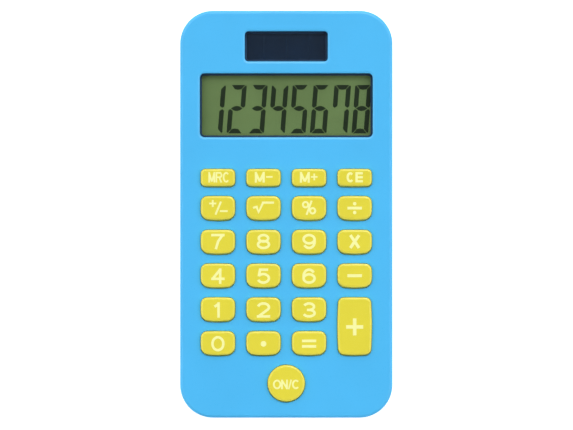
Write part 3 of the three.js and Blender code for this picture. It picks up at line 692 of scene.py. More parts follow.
def key_cap(name, material):
    """A key with its plunger, its flange under the face, and a round edge at its top."""
    keys = bpy.context.scene.calculator_keys
    low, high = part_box(name)
    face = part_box("front_shell")[1].z
    top = high.z - keys.ink_thickness * CAP_TOP
    flange_top = face - bpy.context.scene.calculator_case.face_wall - keys.flange_gap
    flange_low = flange_top - keys.flange_height

    def cap_outline(inset):
        """The cap's outline, drawn in by an inset, above the face."""
        return key_outline(name, keys.swell - keys.draft - inset, keys.near_draft)

    skin = Skin()
    flange, cap = skin.stack(
        [
            (key_outline(name, keys.flange), flange_low),
            (key_outline(name, keys.flange), flange_top),
            (key_outline(name, keys.swell), flange_top),
            (key_outline(name, keys.swell), face - keys.gap),
            *shouldered(cap_outline, keys.edge, keys.shoulder, top),
        ]
    )
    plunger = circle(keys.plunger, middle(low, high), 32)
    foot, root = skin.stack([(plunger, low.z), (plunger, flange_low)])
    skin.plate(cap)
    skin.plate(flange, [root], up=False)
    skin.plate(foot, up=False)
    cap_piece = skin.piece(f"{name}_cap", material, name)
    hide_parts(name)


class CALCULATOR_OT_keys(bpy.types.Operator):
    """Moulds the yellow keys"""

    bl_idname = "calculator.keys"
    bl_label = "Keys"

    def execute(self, context):
        keys = context.scene.calculator_keys
        plastic = moulded_plastic("satin moulded ABS, yellow", keys.colour, keys.grain, 0.24, 0.02 * MM)
        for name in KEYS:
            key_cap(name, plastic)
        return {"FINISHED"}


# ---------------------------------------------------------------------------
# Legends
# ---------------------------------------------------------------------------

# What is printed on each key: (characters, width and height of one, place of their middle from the
# key's, line width, distance from one character to the next), in millimetres. The ten figures follow
# the key settings.
WORDS = {
    "key_memory_recall": [("MRC", 1.9, 2.95, 0.3, 0.0, 0.46, 2.03)],
    "key_memory_minus": [("M", 2.8, 3.0, -1.05, 0.0, 0.62, 0.0), ("-", 1.8, 0.5, 1.65, 0.1, 0.45, 0.0)],
    "key_memory_plus": [("M", 2.8, 3.0, -1.2, 0.0, 0.62, 0.0), ("+", 1.9, 1.9, 1.45, 0.1, 0.45, 0.0)],
    "key_clear_entry": [("CE", 2.1, 2.9, 0.0, 0.0, 0.65, 2.5)],
    "key_sign_change": [
        ("+", 2.0, 2.0, -1.45, 1.2, 0.5, 0.0),
        ("/", 2.1, 3.7, 0.1, -0.1, 0.55, 0.0),
        ("-", 2.2, 0.5, 1.65, -0.95, 0.5, 0.0),
    ],
    "key_square_root": [("√", 5.9, 3.3, 0.0, 0.1, 0.62, 0.0)],
    "key_percent": [("%", 4.0, 4.0, 0.0, 0.0, 0.55, 0.0)],
    "key_divide": [("÷", 4.1, 3.7, 0.0, -0.1, 0.8, 0.0)],
    "key_multiply": [("X", 3.3, 3.6, 0.0, 0.0, 0.85, 0.0)],
    "key_minus": [("-", 4.1, 0.8, 0.0, -0.1, 0.85, 0.0)],
    "key_decimal_point": [(".", 1.6, 1.6, 0.0, -0.25, 0.8, 0.0)],
    "key_equals": [("=", 4.0, 2.3, 0.0, -0.2, 0.75, 0.0)],
    "key_plus": [("+", 4.8, 4.8, 0.0, -0.25, 1.0, 0.0)],
    "key_on_clear": [
        ("O", 2.35, 2.7, -2.6, -0.4, 0.5, 0.0),
        ("N", 1.9, 2.7, -0.5, -0.4, 0.5, 0.0),
        ("/", 1.1, 2.7, 1.05, -0.4, 0.4, 0.0),
        ("C", 2.2, 2.7, 2.7, -0.4, 0.5, 0.0),
    ],
}


# The figures on the top row of figure keys
TOP_FIGURES = "789"

# Beyond this cosine a mitre would grow too long, and the corner is cut
SHORTEST_MITRE = 0.6


def stroke(points, width):
    """The outline of a line of one width through points, with mitred corners and square ends."""
    left = []
    right = []
    for index, (x, y) in enumerate(points):
        before = Vector(points[max(index - 1, 0)])
        after = Vector(points[min(index + 1, len(points) - 1)])
        here = Vector((x, y))
        enter = (here - before).normalized() if index else (after - here).normalized()
        leave = (after - here).normalized() if index + 1 < len(points) else enter
        along = (enter + leave).normalized()
        reach = width / 2 / max(SHORTEST_MITRE, along.dot(enter))
        side = Vector((-along.y, along.x)) * reach
        left.append(tuple(here + side))
        right.append(tuple(here - side))
    return right + left[::-1]


def arc(x, y, across, up, start, end):
    """Points on an ellipse round (x, y), between two angles in degrees, about 12 degrees apart."""
    steps = max(6, round(abs(end - start) / 12))
    angles = [math.radians(start + (end - start) * step / steps) for step in range(steps + 1)]
    return [(x + across * math.cos(a), y + up * math.sin(a)) for a in angles]


# An arc to this angle, closed by its last side, is a whole turn
WHOLE_TURN = 348


def character(sign, a, b, t):
    """The (outline, hole) pairs of a character whose lines are t wide. Their middles reach a to the
    sides and b up and down, and shares of a and b give their turns and ends."""
    half = t / 2
    end = b + half
    side = a + half

    def disc(x, y, across, up):
        """A whole ellipse round (x, y)."""
        return arc(x, y, across, up, 0, WHOLE_TURN)

    def ring(x, y, across, up):
        """A closed line round (x, y), with its hole."""
        return (disc(x, y, across + half, up + half), disc(x, y, across - half, up - half))

    def line(*points):
        """A line through points."""
        return (stroke(points, t), None)

    if sign == "6":
        tail = line(*arc(0, 0.05 * b, a, 0.95 * b, 32, 180), (-a, -0.36 * b))
        return [ring(0, -0.36 * b, a, 0.64 * b), tail]
    if sign == "9":
        return [
            (turned_half(outline), turned_half(hole) if hole else None)
            for outline, hole in character("6", a, b, t)
        ]
    if sign == "%":
        dot = 0.42 * a
        rings = [ring(x, y, dot, 0.44 * b) for x, y in ((-0.58 * a, 0.5 * b), (0.58 * a, -0.5 * b))]
        return [*rings, line((-0.42 * a, -end), (0.42 * a, end))]
    if sign == "÷":
        dots = [(disc(0, y, 0.62 * t, 0.62 * t), None) for y in (-b + 0.25 * t, b - 0.25 * t)]
        return [line((-side, 0), (side, 0)), *dots]
    bowl = arc(0.3 * a, 0.5 * b, 0.7 * a, 0.5 * b, 80, -80)
    shapes = {
        "0": lambda: [ring(0, 0, a, b)],
        "1": lambda: [
            line((-0.62 * a, 0.5 * b), (0.1 * a, 0.93 * b)),
            line((0.12 * a, end), (0.12 * a, -end)),
        ],
        "2": lambda: [
            line(*arc(0, 0.42 * b, a, 0.58 * b, 168, -38), (-0.9 * a, -b)),
            line((-side, -b), (side, -b)),
        ],
        "3": lambda: [
            line(*arc(0, 0.5 * b, 0.9 * a, 0.5 * b, 160, -90), (-0.4 * a, 0)),
            line((-0.4 * a, 0), *arc(0, -0.5 * b, a, 0.5 * b, 90, -162)),
        ],
        "4": lambda: [
            line((0.42 * a, end), (0.42 * a, -end)),
            line((-side, -0.42 * b), (side, -0.42 * b)),
            line((-0.95 * a, -0.42 * b), (0.38 * a, b)),
        ],
        "5": lambda: [
            line((0.85 * a, b), (-0.62 * a, b), (-0.86 * a, -0.04 * b)),
            line(*arc(-0.02 * a, -0.34 * b, a, 0.66 * b, 143, -160)),
        ],
        "7": lambda: [
            line((-side, b), (side, b)),
            line((0.85 * a, b), (0.05 * a, 0.05 * b), (-0.38 * a, -end)),
        ],
        "8": lambda: [ring(0, 0.5 * b, 0.86 * a, 0.5 * b), ring(0, -0.46 * b, a, 0.54 * b)],
        "M": lambda: [
            line((-a, -end), (-a, end)),
            line((a, -end), (a, end)),
            line((-a, b), (0, -b)),
            line((a, b), (0, -b)),
        ],
        "N": lambda: [line((-a, -end), (-a, end)), line((a, -end), (a, end)), line((-a, b), (a, -b))],
        "R": lambda: [
            line((-a, -end), (-a, end)),
            line((-a, b), (0.3 * a, b), *bowl, (0.3 * a, 0), (-a, 0)),
            line((0.1 * a, 0), (0.95 * a, -end)),
        ],
        "C": lambda: [line(*arc(0, 0, a, b, 42, 318))],
        "E": lambda: [line((-a, -end), (-a, end)), *[line((-a, y), (side, y)) for y in (-b, 0, b)]],
        "O": lambda: [ring(0, 0, a, b)],
        "X": lambda: [line((-a, -end), (a, end)), line((-a, end), (a, -end))],
        "/": lambda: [line((-a, -end), (a, end))],
        "+": lambda: [line((-side, 0), (side, 0)), line((0, -end), (0, end))],
        "-": lambda: [line((-side, 0), (side, 0))],
        "=": lambda: [line((-side, y), (side, y)) for y in (-b, b)],
        ".": lambda: [(disc(0, 0, side, end), None)],
        "√": lambda: [
            line((-side, -0.1 * b), (-0.72 * a, 0.12 * b), (-0.52 * a, -b), (-0.05 * a, b), (side, b))
        ],
    }
    return shapes[sign]()


def turned_half(outline):
    """An outline turned half a turn round the origin."""
    return [(-x, -y) for x, y in outline]


def legend_words(name):
    """What is printed on a key, laid out as in WORDS."""
    keys = bpy.context.scene.calculator_keys
    figure = name.removeprefix("key_")
    if figure.isdigit():
        drop = 0.0 if figure in TOP_FIGURES else keys.figure_drop
        sizes = (keys.figure_width, keys.figure_height, 0.0, -drop, keys.figure_stroke, 0.0)
        return [(figure, *[size / MM for size in sizes])]
    return WORDS[name]


def legend_mesh(name):
    """The print on a key, one millimetre thick and in millimetres round the key's middle."""
    strokes = []
    for text, width, height, x, y, weight, pitch in legend_words(name):
        for index, sign in enumerate(text):
            shift = x + (index - (len(text) - 1) / 2) * pitch
            for outline, hole in character(sign, (width - weight) / 2, (height - weight) / 2, weight):
                skin = Skin()
                placed = [[(shift + px, y + py) for px, py in ring] for ring in (outline, hole) if ring]
                prism(skin, placed[0], 0.0, 1.0, *placed[1:])
                bmesh.ops.recalc_face_normals(skin.bm, faces=skin.bm.faces)
                strokes.append(mesh_of(skin))
    whole = strokes[0]
    for extra in strokes[1:]:
        whole = boolean(whole, extra, "UNION")
    return whole


class CALCULATOR_OT_legends(bpy.types.Operator):
    """Prints the keys' legends"""

    bl_idname = "calculator.legends"
    bl_label = "Legends"

    def execute(self, context):
        keys = context.scene.calculator_keys
        ink = printed_ink("pad-printed ink, pale yellow", keys.ink)
        for name in KEYS:
            low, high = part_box(name)
            x, y = middle(low, high)
            top = high.z - PRINT_TOP * keys.ink_thickness
            under = high.z - PRINT_FOOT * keys.ink_thickness
            mesh = legend_mesh(name)
            for vert in mesh.vertices:
                height = under + vert.co.z * (top - under)
                vert.co = (x + vert.co.x * MM, y + keys.legend_rise + vert.co.y * MM, height)
            legend = finish_piece(f"{name}_legend", mesh, ink, name)
        return {"FINISHED"}


# ---------------------------------------------------------------------------
# Front shell
# ---------------------------------------------------------------------------

# How far the display's pane reaches past its window in x and y, where it is bonded behind the face
DISPLAY_OVERLAP = (1.5 * MM, 0.8 * MM)

# Each pane, how far it reaches past its window, and the corner radius of its window
WINDOWS = (
    ("display_window", DISPLAY_OVERLAP, 1.3 * MM),
    ("solar_window", (1.0 * MM, 0.8 * MM), 1.0 * MM),
)


def case_outline(inset):
    """The case's outline, drawn in all round by an inset."""
    low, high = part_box("front_shell")
    radius = bpy.context.scene.calculator_case.corner_radius
    width = high.x - low.x - 2 * inset
    height = high.y - low.y - 2 * inset
    return rounded(width, height, radius - inset, middle(low, high), steps=20, side_steps=6)


def window_outline(node, overlap, radius, margin):
    """A window's hole: its pane less the overlap that is bonded behind the face."""
    low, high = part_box(node)
    width = high.x - low.x - 2 * overlap[0] + 2 * margin
    height = high.y - low.y - 2 * overlap[1] + 2 * margin
    return rounded(width, height, radius + margin, middle(low, high), steps=10)


# The ribs that hold the solar cell: how thick, the air between them and the cell, their corner radius
# and how far they hang down
CELL_RIB = 0.9 * MM
CELL_RIB_GAP = 0.15 * MM
CELL_RIB_CORNER = 0.15 * MM
CELL_RIB_DEPTH = 1.9 * MM

# What is left of the face under the blind end of a screw's hole
HOLE_FLOOR = 0.2 * MM


def ceiling_posts(skin, ceiling):
    """The screw posts and the solar cell's ribs, which hang from the ceiling. Returns the rings at
    their roots."""
    fittings = bpy.context.scene.calculator_fittings
    board_low, board_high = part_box("circuit_board")
    hole_end = ceiling - HOLE_FLOOR
    roots = []
    posts = [(name, fittings.post, fittings.shank) for name in CASE_SCREWS]
    posts += [(name, fittings.small_post, fittings.small_shank) for name in BOARD_SCREWS]
    for node, radius, shank in posts:
        centre = middle(*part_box(node))
        over_board = centre[1] < board_high.y
        end = board_high.z + fittings.seat_gap if over_board else board_low.z
        hole = circle(shank + fittings.hole_gap, centre, 32)
        roots.append(hanging_post(skin, circle(radius, centre, 40), ceiling, end, hole, hole_end))
    low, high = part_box("solar_cell")
    x, y = middle(low, high)
    away = CELL_RIB_GAP + CELL_RIB / 2
    reach = (high.x - low.x) / 2 + away
    upright = (CELL_RIB, high.y - low.y)
    across = (high.x - low.x, CELL_RIB)
    ribs = [(upright, (x - reach, y)), (upright, (x + reach, y)), (across, (x, high.y + away))]
    for (width, height), centre in ribs:
        outline = rounded(width, height, CELL_RIB_CORNER, centre, steps=3)
        roots.append(hanging_post(skin, outline, ceiling, ceiling - CELL_RIB_DEPTH))
    return roots


class CALCULATOR_OT_front_shell(bpy.types.Operator):
    """Moulds the front shell with its holes for the windows and keys"""

    bl_idname = "calculator.front_shell"
    bl_label = "Front shell"

    def execute(self, context):
        case = context.scene.calculator_case
        keys = context.scene.calculator_keys
        low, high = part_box("front_shell")
        face = high.z
        ceiling = face - case.face_wall
        skin = Skin()
        seam = [
            (case_outline(case.seam_edge - rise), low.z + inset)
            for inset, rise in quarter(case.seam_edge, 3)
        ]
        edge = [
            (case_outline(inset), face - case.face_edge + rise)
            for inset, rise in quarter(case.face_edge, 8)
        ]
        seam_ring, face_ring = skin.stack([*seam, *edge, (case_outline(case.face_edge + SUPPORT), face)])
        openings = []
        for name in KEYS:
            rims = [
                (key_outline(name, keys.swell + keys.gap + inset), face - case.key_rim + rise)
                for inset, rise in quarter(case.key_rim)
            ]
            rims.append((key_outline(name, keys.swell + keys.gap + case.key_rim + SUPPORT), face))
            openings.append(rims)
        for node, overlap, radius in WINDOWS:
            openings.append(
                shouldered(
                    lambda inset: window_outline(node, overlap, radius, inset),
                    case.window_rim, case.window_shoulder, face,
                )
            )
        face_rings = []
        ceiling_rings = []
        for rims in openings:
            bottom, top = hole_wall(skin, [(rims[0][0], ceiling), *rims])
            face_rings.append(top)
            ceiling_rings.append(bottom)
        skin.plate(face_ring, face_rings)
        lip_inset = case.side_wall - case.lip_wall - case.lip_gap
        lip_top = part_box("rear_shell")[1].z + case.lip_gap
        mouth, roof = hole_wall(
            skin,
            [
                (case_outline(lip_inset), low.z),
                (case_outline(lip_inset), lip_top),
                (case_outline(case.side_wall), lip_top),
                (case_outline(case.side_wall), ceiling),
            ],
        )
        skin.wall(mouth, seam_ring)
        skin.plate(roof, ceiling_rings + ceiling_posts(skin, ceiling), up=False)
        plastic = moulded_plastic(CASE_PLASTIC, case.colour, case.grain, 0.32, 0.03 * MM)
        shell = skin.piece("front_shell_moulding", plastic, "case")
        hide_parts("front_shell")
        return {"FINISHED"}


# ---------------------------------------------------------------------------
# Display and solar cell
# ---------------------------------------------------------------------------

# The segments of each figure, named a to g clockwise from the top, with g in the middle
FIGURE_SEGMENTS = {
    "0": "abcdef", "1": "bc", "2": "abged", "3": "abgcd", "4": "fgbc",
    "5": "afgcd", "6": "afgecd", "7": "fabc", "8": "abcdefg", "9": "abcdfg",
}


def bulge(start, end, depth, steps=8):
    """Points from start to end on a shallow arc that bulges in y by depth."""
    points = []
    for step in range(steps + 1):
        share = step / steps
        x = start[0] + share * (end[0] - start[0])
        y = start[1] + share * (end[1] - start[1]) + depth * 4 * share * (1 - share)
        points.append((x, y))
    return points


def segment_outlines(width, height, t):
    """The outline of each segment of a figure whose lines are t wide, with its lower left corner at the
    origin. Shares of t give the gaps, the slants and the bulges."""
    half = 0.514 * height
    gap = 0.12 * t
    inner = height - t * 0.92
    top = [
        (t * 0.35, height),
        *bulge((t * 1.08, inner), (width - t * 1.08, inner), -t * 0.12),
        (width - t * 0.35, height),
    ]
    left_tip, right_tip = (t * 0.55, half), (width - t * 0.55, half)
    centre = [*bulge(left_tip, right_tip, -t * 0.55), *bulge(right_tip, left_tip, t * 0.55)[1:-1]]

    def upright(foot):
        """The upper left segment, down to a foot."""
        return [
            (0, height - t * 0.2),
            (0, foot + t * 0.5),
            (t * 0.4, foot + gap),
            (t, foot + t * 0.55),
            (t, height - t * 0.95),
            (t * 0.25, height - gap),
        ]

    upper_left = upright(half)
    lower_left = [(x, height - y) for x, y in upright(height - half)][::-1]
    upper_right = [(width - x, y) for x, y in upper_left][::-1]
    lower_right = [(width - x, y) for x, y in lower_left][::-1]
    bottom = [(x, height - y) for x, y in top][::-1]
    outlines = (top, upper_right, lower_right, bottom, lower_left, upper_left, centre)
    return dict(zip("abcdefg", outlines))


def figure_segments(display):
    """The outlines of the segments that are on, in the calculator's x and y."""
    low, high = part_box("display_window")
    window_right = high.x - DISPLAY_OVERLAP[0]
    middle_y = (low.y + high.y) / 2 - display.drop
    shapes = segment_outlines(display.figure_width, display.figure_height, display.stroke)
    outlines = []
    for place, figure in enumerate(reversed(display.figures)):
        centre_x = window_right - display.right_margin - place * display.figure_pitch
        for name in FIGURE_SEGMENTS[figure]:
            placed = []
            for x, y in shapes[name]:
                rise = y - display.figure_height / 2
                lean = math.tan(display.slant) * rise
                placed.append((centre_x + x - display.figure_width / 2 + lean, middle_y + rise))
            outlines.append(placed)
    return outlines


# The air over the rings of painted shade round the windows, as a share of the ink's thickness, and how
# much of a pane's overlap they cover
BORDER_GAP = 0.1
BORDER_COVER = 0.5


def painted_window_shade(node, overlap, radius, ink):
    """A navy ring of painted shade on the rear face of a pane, round its window, where the window's
    recess walls cast their shade.
    """
    width = bpy.context.scene.calculator_display.border
    thickness = bpy.context.scene.calculator_keys.ink_thickness
    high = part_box(node)[0].z - BORDER_GAP * thickness
    skin = Skin()
    outer = window_outline(node, overlap, radius, BORDER_COVER * overlap[1])
    prism(skin, outer, high - thickness, high, window_outline(node, overlap, radius, -width))
    skin.piece(f"{node}_border", ink, "case")


class CALCULATOR_OT_display(bpy.types.Operator):
    """Builds the liquid-crystal display behind its window"""

    bl_idname = "calculator.display"
    bl_label = "Display"

    def execute(self, context):
        display = context.scene.calculator_display
        film_gap = 0.01 * MM
        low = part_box("lcd_rear_glass")[1].z + film_gap
        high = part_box("lcd_front_glass")[0].z - film_gap
        skin = Skin()
        for outline in figure_segments(display):
            prism(skin, outline, low, high)
        bmesh.ops.recalc_face_normals(skin.bm, faces=skin.bm.faces)
        dark = glazed("switched liquid crystal, dark green", display.segment, 0.5, 3 * MM)
        segments = skin.piece("lcd_segments", dark, "case")
        glaze_node("display_window", clear_sheet("polished cast acrylic, clear", "#FBFDFC", 0.04))
        # The navy rings laid under the panes are painted shade round the windows, made with the ink
        # material.
        ink = printed_ink("screen-printed ink, navy", display.window_shade_colour)
        for node, overlap, radius in WINDOWS:
            painted_window_shade(node, overlap, radius, ink)
        glaze_node("lcd_front_polariser", laminated_film("laminated polariser film, olive", "#F6F8F0"))
        glaze_node("lcd_front_glass", laminated_film("laminated display glass, clear", "#FAFDFA"))
        crystal = liquid_crystal("liquid crystal over reflector, olive", display.background)
        finish_node("lcd_rear_glass", crystal)
        finish_node("lcd_rear_polariser", crystal)
        frame_plastic = moulded_plastic("moulded ABS, grey", "#B4B8B6", 0.3 * MM, 0.5, 0.02 * MM)
        finish_node("lcd_frame", frame_plastic)
        finish_node("lcd_connector", soft_rubber("layered silicone strip, grey", "#9A9C98", 0.3 * MM))
        return {"FINISHED"}


class CALCULATOR_OT_solar_cell(bpy.types.Operator):
    """Finishes the solar cell and its window"""

    bl_idname = "calculator.solar_cell"
    bl_label = "Solar cell"

    def execute(self, context):
        display = context.scene.calculator_display
        low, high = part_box("solar_cell")
        pitch = (high.x - low.x) / display.strips
        silicon = silicon_cell("amorphous silicon on glass, navy", display.solar, display.scribe, pitch)
        finish_node("solar_cell", silicon)
        glaze_node("solar_window", clear_sheet("polished cast acrylic, solar window", "#F6FAFA", 0.05))
        return {"FINISHED"}


# ---------------------------------------------------------------------------
# Rear shell and battery door
# ---------------------------------------------------------------------------


def door_outline(margin):
    """The battery door's outline, grown all round by a margin."""
    low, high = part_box("battery_door")
    corner = bpy.context.scene.calculator_fittings.door_corner
    size = (high.x - low.x + 2 * margin, high.y - low.y + 2 * margin)
    return rounded(*size, corner + margin, middle(low, high), steps=8)


# The battery bay. Above the rear shell's floor: the top of its pad, and of the wall round the cell
PAD_RISE = 0.5 * MM
WELL_RISE = 2.8 * MM
# How far the screw's post stands above the door's boss
POST_RISE = 2.95 * MM
# How far the pad reaches past the door, the air round the cell, and how thick the wall and the post are
PAD_MARGIN = 1.0 * MM
WELL_GAP = 0.3 * MM
WELL_WALL = 1.4 * MM
POST_WALL = 0.7 * MM


def battery_bay(skin, low, floor):
    """The door's recess, the cell's well and the door screw's post. Returns the ring of the recess's
    mouth in the underside and the ring of its pad on the floor."""
    fittings = bpy.context.scene.calculator_fittings
    cell = middle(*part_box("button_cell"))
    screw = middle(*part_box("battery_door_screw"))
    seat = low + fittings.door_plate + fittings.seat_gap
    pad_top = floor + PAD_RISE
    well_top = floor + WELL_RISE
    boss_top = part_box("battery_door")[1].z + fittings.seat_gap
    post_top = boss_top + POST_RISE
    recess = door_outline(fittings.door_gap)
    pad = door_outline(PAD_MARGIN)
    well = radius_of("button_cell") + WELL_GAP
    well_inner = circle(well, cell, 64)
    well_outer = circle(well + WELL_WALL, cell, 64)
    bore = fittings.door_boss + fittings.door_gap
    boss_hole = circle(bore, screw)
    shank_hole = circle(fittings.small_shank + fittings.hole_gap, screw)
    post = circle(bore + POST_WALL, screw)
    mouth, recess_end = hole_wall(skin, [(recess, low), (recess, seat)])
    well_low, well_high = hole_wall(skin, [(well_inner, seat), (well_inner, well_top)])
    bore_low, bore_high = hole_wall(
        skin, [(boss_hole, seat), (boss_hole, boss_top), (shank_hole, boss_top), (shank_hole, post_top)]
    )
    skin.plate(recess_end, [well_low, bore_low], up=False)
    pad_ring, pad_edge = skin.stack([(pad, floor), (pad, pad_top)])
    well_foot, well_edge = skin.stack([(well_outer, pad_top), (well_outer, well_top)])
    post_foot, post_edge = skin.stack([(post, pad_top), (post, post_top)])
    skin.plate(pad_edge, [well_foot, post_foot])
    skin.plate(well_edge, [well_high])
    skin.plate(post_edge, [bore_high])
    return mouth, pad_ring


# The slot in the wall round the cell: how much wider it is than the contact, how deep, its corner
# radius, where its foot and its top lie above the floor, and how far its middle lies from the cell's
# middle and from the cell's edge
SLOT_ROOM = 1.0 * MM
SLOT_DEPTH = 3.1 * MM
SLOT_CORNER = 0.1 * MM
SLOT_FOOT = 0.8 * MM
SLOT_TOP = 4.0 * MM
SLOT_LEFT = 2.0 * MM
SLOT_OUT = 1.0 * MM


def contact_slot():
    """The block that cuts the positive contact's slot out of the wall round the cell."""
    low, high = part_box("battery_contact_positive")
    cell = middle(*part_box("button_cell"))
    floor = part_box("rear_shell")[0].z + bpy.context.scene.calculator_case.rear_wall
    width = high.x - low.x + SLOT_ROOM
    centre = (cell[0] - SLOT_LEFT, cell[1] - radius_of("button_cell") - SLOT_OUT)
    skin = Skin()
    outline = rounded(width, SLOT_DEPTH, SLOT_CORNER, centre, steps=2)
    prism(skin, outline, floor + SLOT_FOOT, floor + SLOT_TOP)
    return mesh_of(skin)


class CALCULATOR_OT_rear_shell(bpy.types.Operator):
    """Moulds the rear shell with its lip, screw posts, foot recesses and battery bay"""

    bl_idname = "calculator.rear_shell"
    bl_label = "Rear shell"

    def execute(self, context):
        case = context.scene.calculator_case
        fittings = context.scene.calculator_fittings
        low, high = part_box("rear_shell")
        floor = low.z + case.rear_wall
        wall_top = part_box("front_shell")[0].z - case.seam_gap
        post_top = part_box("circuit_board")[0].z - fittings.seat_gap
        edge = [
            (case_outline(inset), low.z + case.rear_edge - rise)
            for inset, rise in quarter(case.rear_edge, 8)
        ][::-1]
        seam = [
            (case_outline(inset), wall_top - case.seam_edge + rise)
            for inset, rise in quarter(case.seam_edge, 3)
        ]
        lip = case.side_wall - case.lip_wall
        skin = Skin()
        under_ring, floor_ring = skin.stack(
            [
                (case_outline(case.rear_edge + SUPPORT), low.z), *edge, *seam,
                (case_outline(lip), wall_top), (case_outline(lip), high.z - case.seam_edge),
                (case_outline(lip + case.seam_edge), high.z), (case_outline(case.side_wall), high.z),
                (case_outline(case.side_wall), floor),
            ]
        )
        under_holes = []
        floor_holes = []
        for node in FEET:
            recess = circle(radius_of(node) + fittings.recess_gap, middle(*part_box(node)), 64)
            under_holes.append(blind_hole(skin, recess, low.z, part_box(node)[1].z + fittings.seat_gap))
        for node in CASE_SCREWS:
            centre = middle(*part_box(node))
            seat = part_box(node)[0].z + fittings.head_height + fittings.seat_gap
            head = circle(radius_of(node) + fittings.recess_gap, centre)
            shank = circle(fittings.shank + fittings.hole_gap, centre)
            mouth, end = hole_wall(skin, [(head, low.z), (head, seat), (shank, seat), (shank, post_top)])
            post = circle(fittings.rear_post, centre)
            foot, top = skin.stack([(post, floor), (post, post_top)])
            skin.plate(top, [end])
            under_holes.append(mouth)
            floor_holes.append(foot)
        bay_mouth, pad_ring = battery_bay(skin, low.z, floor)
        skin.plate(under_ring, [*under_holes, bay_mouth], up=False)
        skin.plate(floor_ring, [*floor_holes, pad_ring])
        mesh = boolean(mesh_of(skin), contact_slot(), "DIFFERENCE")
        plastic = bpy.data.materials[CASE_PLASTIC]
        shell = finish_piece("rear_shell_moulding", mesh, plastic, "case")
        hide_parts("rear_shell")
        return {"FINISHED"}


class CALCULATOR_OT_battery_door(bpy.types.Operator):
    """Moulds the battery door with its cell pad and screw boss"""

    bl_idname = "calculator.battery_door"
    bl_label = "Battery door"

    def execute(self, context):
        fittings = context.scene.calculator_fittings
        low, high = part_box("battery_door")
        cell = middle(*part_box("button_cell"))
        screw = middle(*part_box("battery_door_screw"))
        plate_top = low.z + fittings.door_plate
        pad_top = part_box("button_cell")[0].z - fittings.seat_gap
        head_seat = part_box("battery_door_screw")[0].z + fittings.small_head_height
        rim = fittings.door_edge
        skin = Skin()
        edge = [(door_outline(-inset), low.z + rim - rise) for inset, rise in quarter(rim, 3)][::-1]
        under, top = skin.stack(
            [(door_outline(-rim - SUPPORT), low.z), *edge, (door_outline(0.0), plate_top)]
        )
        head = circle(radius_of("battery_door_screw") + fittings.recess_gap, screw)
        shank = circle(fittings.small_shank + fittings.hole_gap, screw)
        mouth, end = hole_wall(
            skin, [(head, low.z), (head, head_seat), (shank, head_seat), (shank, high.z)]
        )
        pad = circle(radius_of("button_cell") - fittings.door_pad, cell, 64)
        boss = circle(fittings.door_boss, screw)
        pad_foot, pad_edge = skin.stack([(pad, plate_top), (pad, pad_top)])
        boss_foot, boss_edge = skin.stack([(boss, plate_top), (boss, high.z)])
        skin.plate(under, [mouth], up=False)
        skin.plate(top, [pad_foot, boss_foot])
        skin.plate(pad_edge)
        skin.plate(boss_edge, [end])
        plastic = bpy.data.materials[CASE_PLASTIC]
        door = skin.piece("battery_door_moulding", plastic, "battery_cover")
        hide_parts("battery_door")
        return {"FINISHED"}


# ---------------------------------------------------------------------------
# Fittings: screws, feet and grip ribs, each made by a node tree
# ---------------------------------------------------------------------------


def new_tree(name, sizes):
    """A geometry tree with points, a material and named sizes as inputs. Returns it and its inputs."""
    tree = bpy.data.node_groups.new(name, "GeometryNodeTree")
    tree.interface.new_socket("Points", in_out="INPUT", socket_type="NodeSocketGeometry")
    tree.interface.new_socket("Material", in_out="INPUT", socket_type="NodeSocketMaterial")
    for size in sizes:
        tree.interface.new_socket(size, in_out="INPUT", socket_type="NodeSocketFloat")
    tree.interface.new_socket("Geometry", in_out="OUTPUT", socket_type="NodeSocketGeometry")
    return tree, add_node(tree, "NodeGroupInput").outputs


def end_tree(tree, given, shape):
    """Puts a shape on the tree's points, as real geometry with the tree's material."""
    instances = {"Points": given["Points"], "Instance": shape}
    placed = add_node(tree, "GeometryNodeInstanceOnPoints", instances)
    real = add_node(tree, "GeometryNodeRealizeInstances", {"Geometry": placed})
    finish = {"Geometry": real, "Material": given["Material"]}
    finished = add_node(tree, "GeometryNodeSetMaterial", finish)
    add_node(tree, "NodeGroupOutput", {0: finished})


def round_disc(tree, radius, height, roundness):
    """A disc on the origin whose radius and height follow the cosine and sine of its latitude, raised
    to a small power that rounds its edges."""
    maths, vector_maths = "ShaderNodeMath", "ShaderNodeVectorMath"
    ball = add_node(tree, "GeometryNodeMeshUVSphere", {"Segments": 48, "Rings": 24, "Radius": 1.0})
    place = add_node(tree, "GeometryNodeInputPosition")
    parts = add_node(tree, "ShaderNodeSeparateXYZ", {0: place}).outputs
    flat = add_node(tree, "ShaderNodeCombineXYZ", {0: parts["X"], 1: parts["Y"]})
    cosine = add_node(tree, vector_maths, {0: flat}, operation="LENGTH").outputs["Value"]
    off_pole = add_node(tree, maths, {0: cosine, 1: 0.0001}, operation="MAXIMUM")
    less = add_node(tree, maths, {0: roundness, 1: 1.0}, operation="SUBTRACT")
    spread = add_node(tree, maths, {0: off_pole, 1: less}, operation="POWER")
    reach = add_node(tree, maths, {0: spread, 1: radius}, operation="MULTIPLY")
    wide = add_node(tree, vector_maths, {"Vector": flat, "Scale": reach}, operation="SCALE")
    sine = add_node(tree, maths, {0: parts["Z"]}, operation="ABSOLUTE")
    level = add_node(tree, maths, {0: sine, 1: roundness}, operation="POWER")
    half = add_node(tree, maths, {0: height, 1: 0.5}, operation="MULTIPLY")
    rise = add_node(tree, maths, {0: level, 1: half}, operation="MULTIPLY")
    side = add_node(tree, maths, {0: parts["Z"]}, operation="SIGN")
    signed = add_node(tree, maths, {0: rise, 1: side, 2: half}, operation="MULTIPLY_ADD")
    up = add_node(tree, "ShaderNodeCombineXYZ", {2: signed})
    where = add_node(tree, vector_maths, {0: wide, 1: up}, operation="ADD")
    return add_node(tree, "GeometryNodeSetPosition", {"Geometry": ball, "Position": where})


def foot_tree():
    """Round-edged discs, which stand on their points."""
    names = ("Radius", "Height", "Roundness")
    tree, given = new_tree("feet", names)
    end_tree(tree, given, round_disc(tree, *[given[name] for name in names]))
    return tree


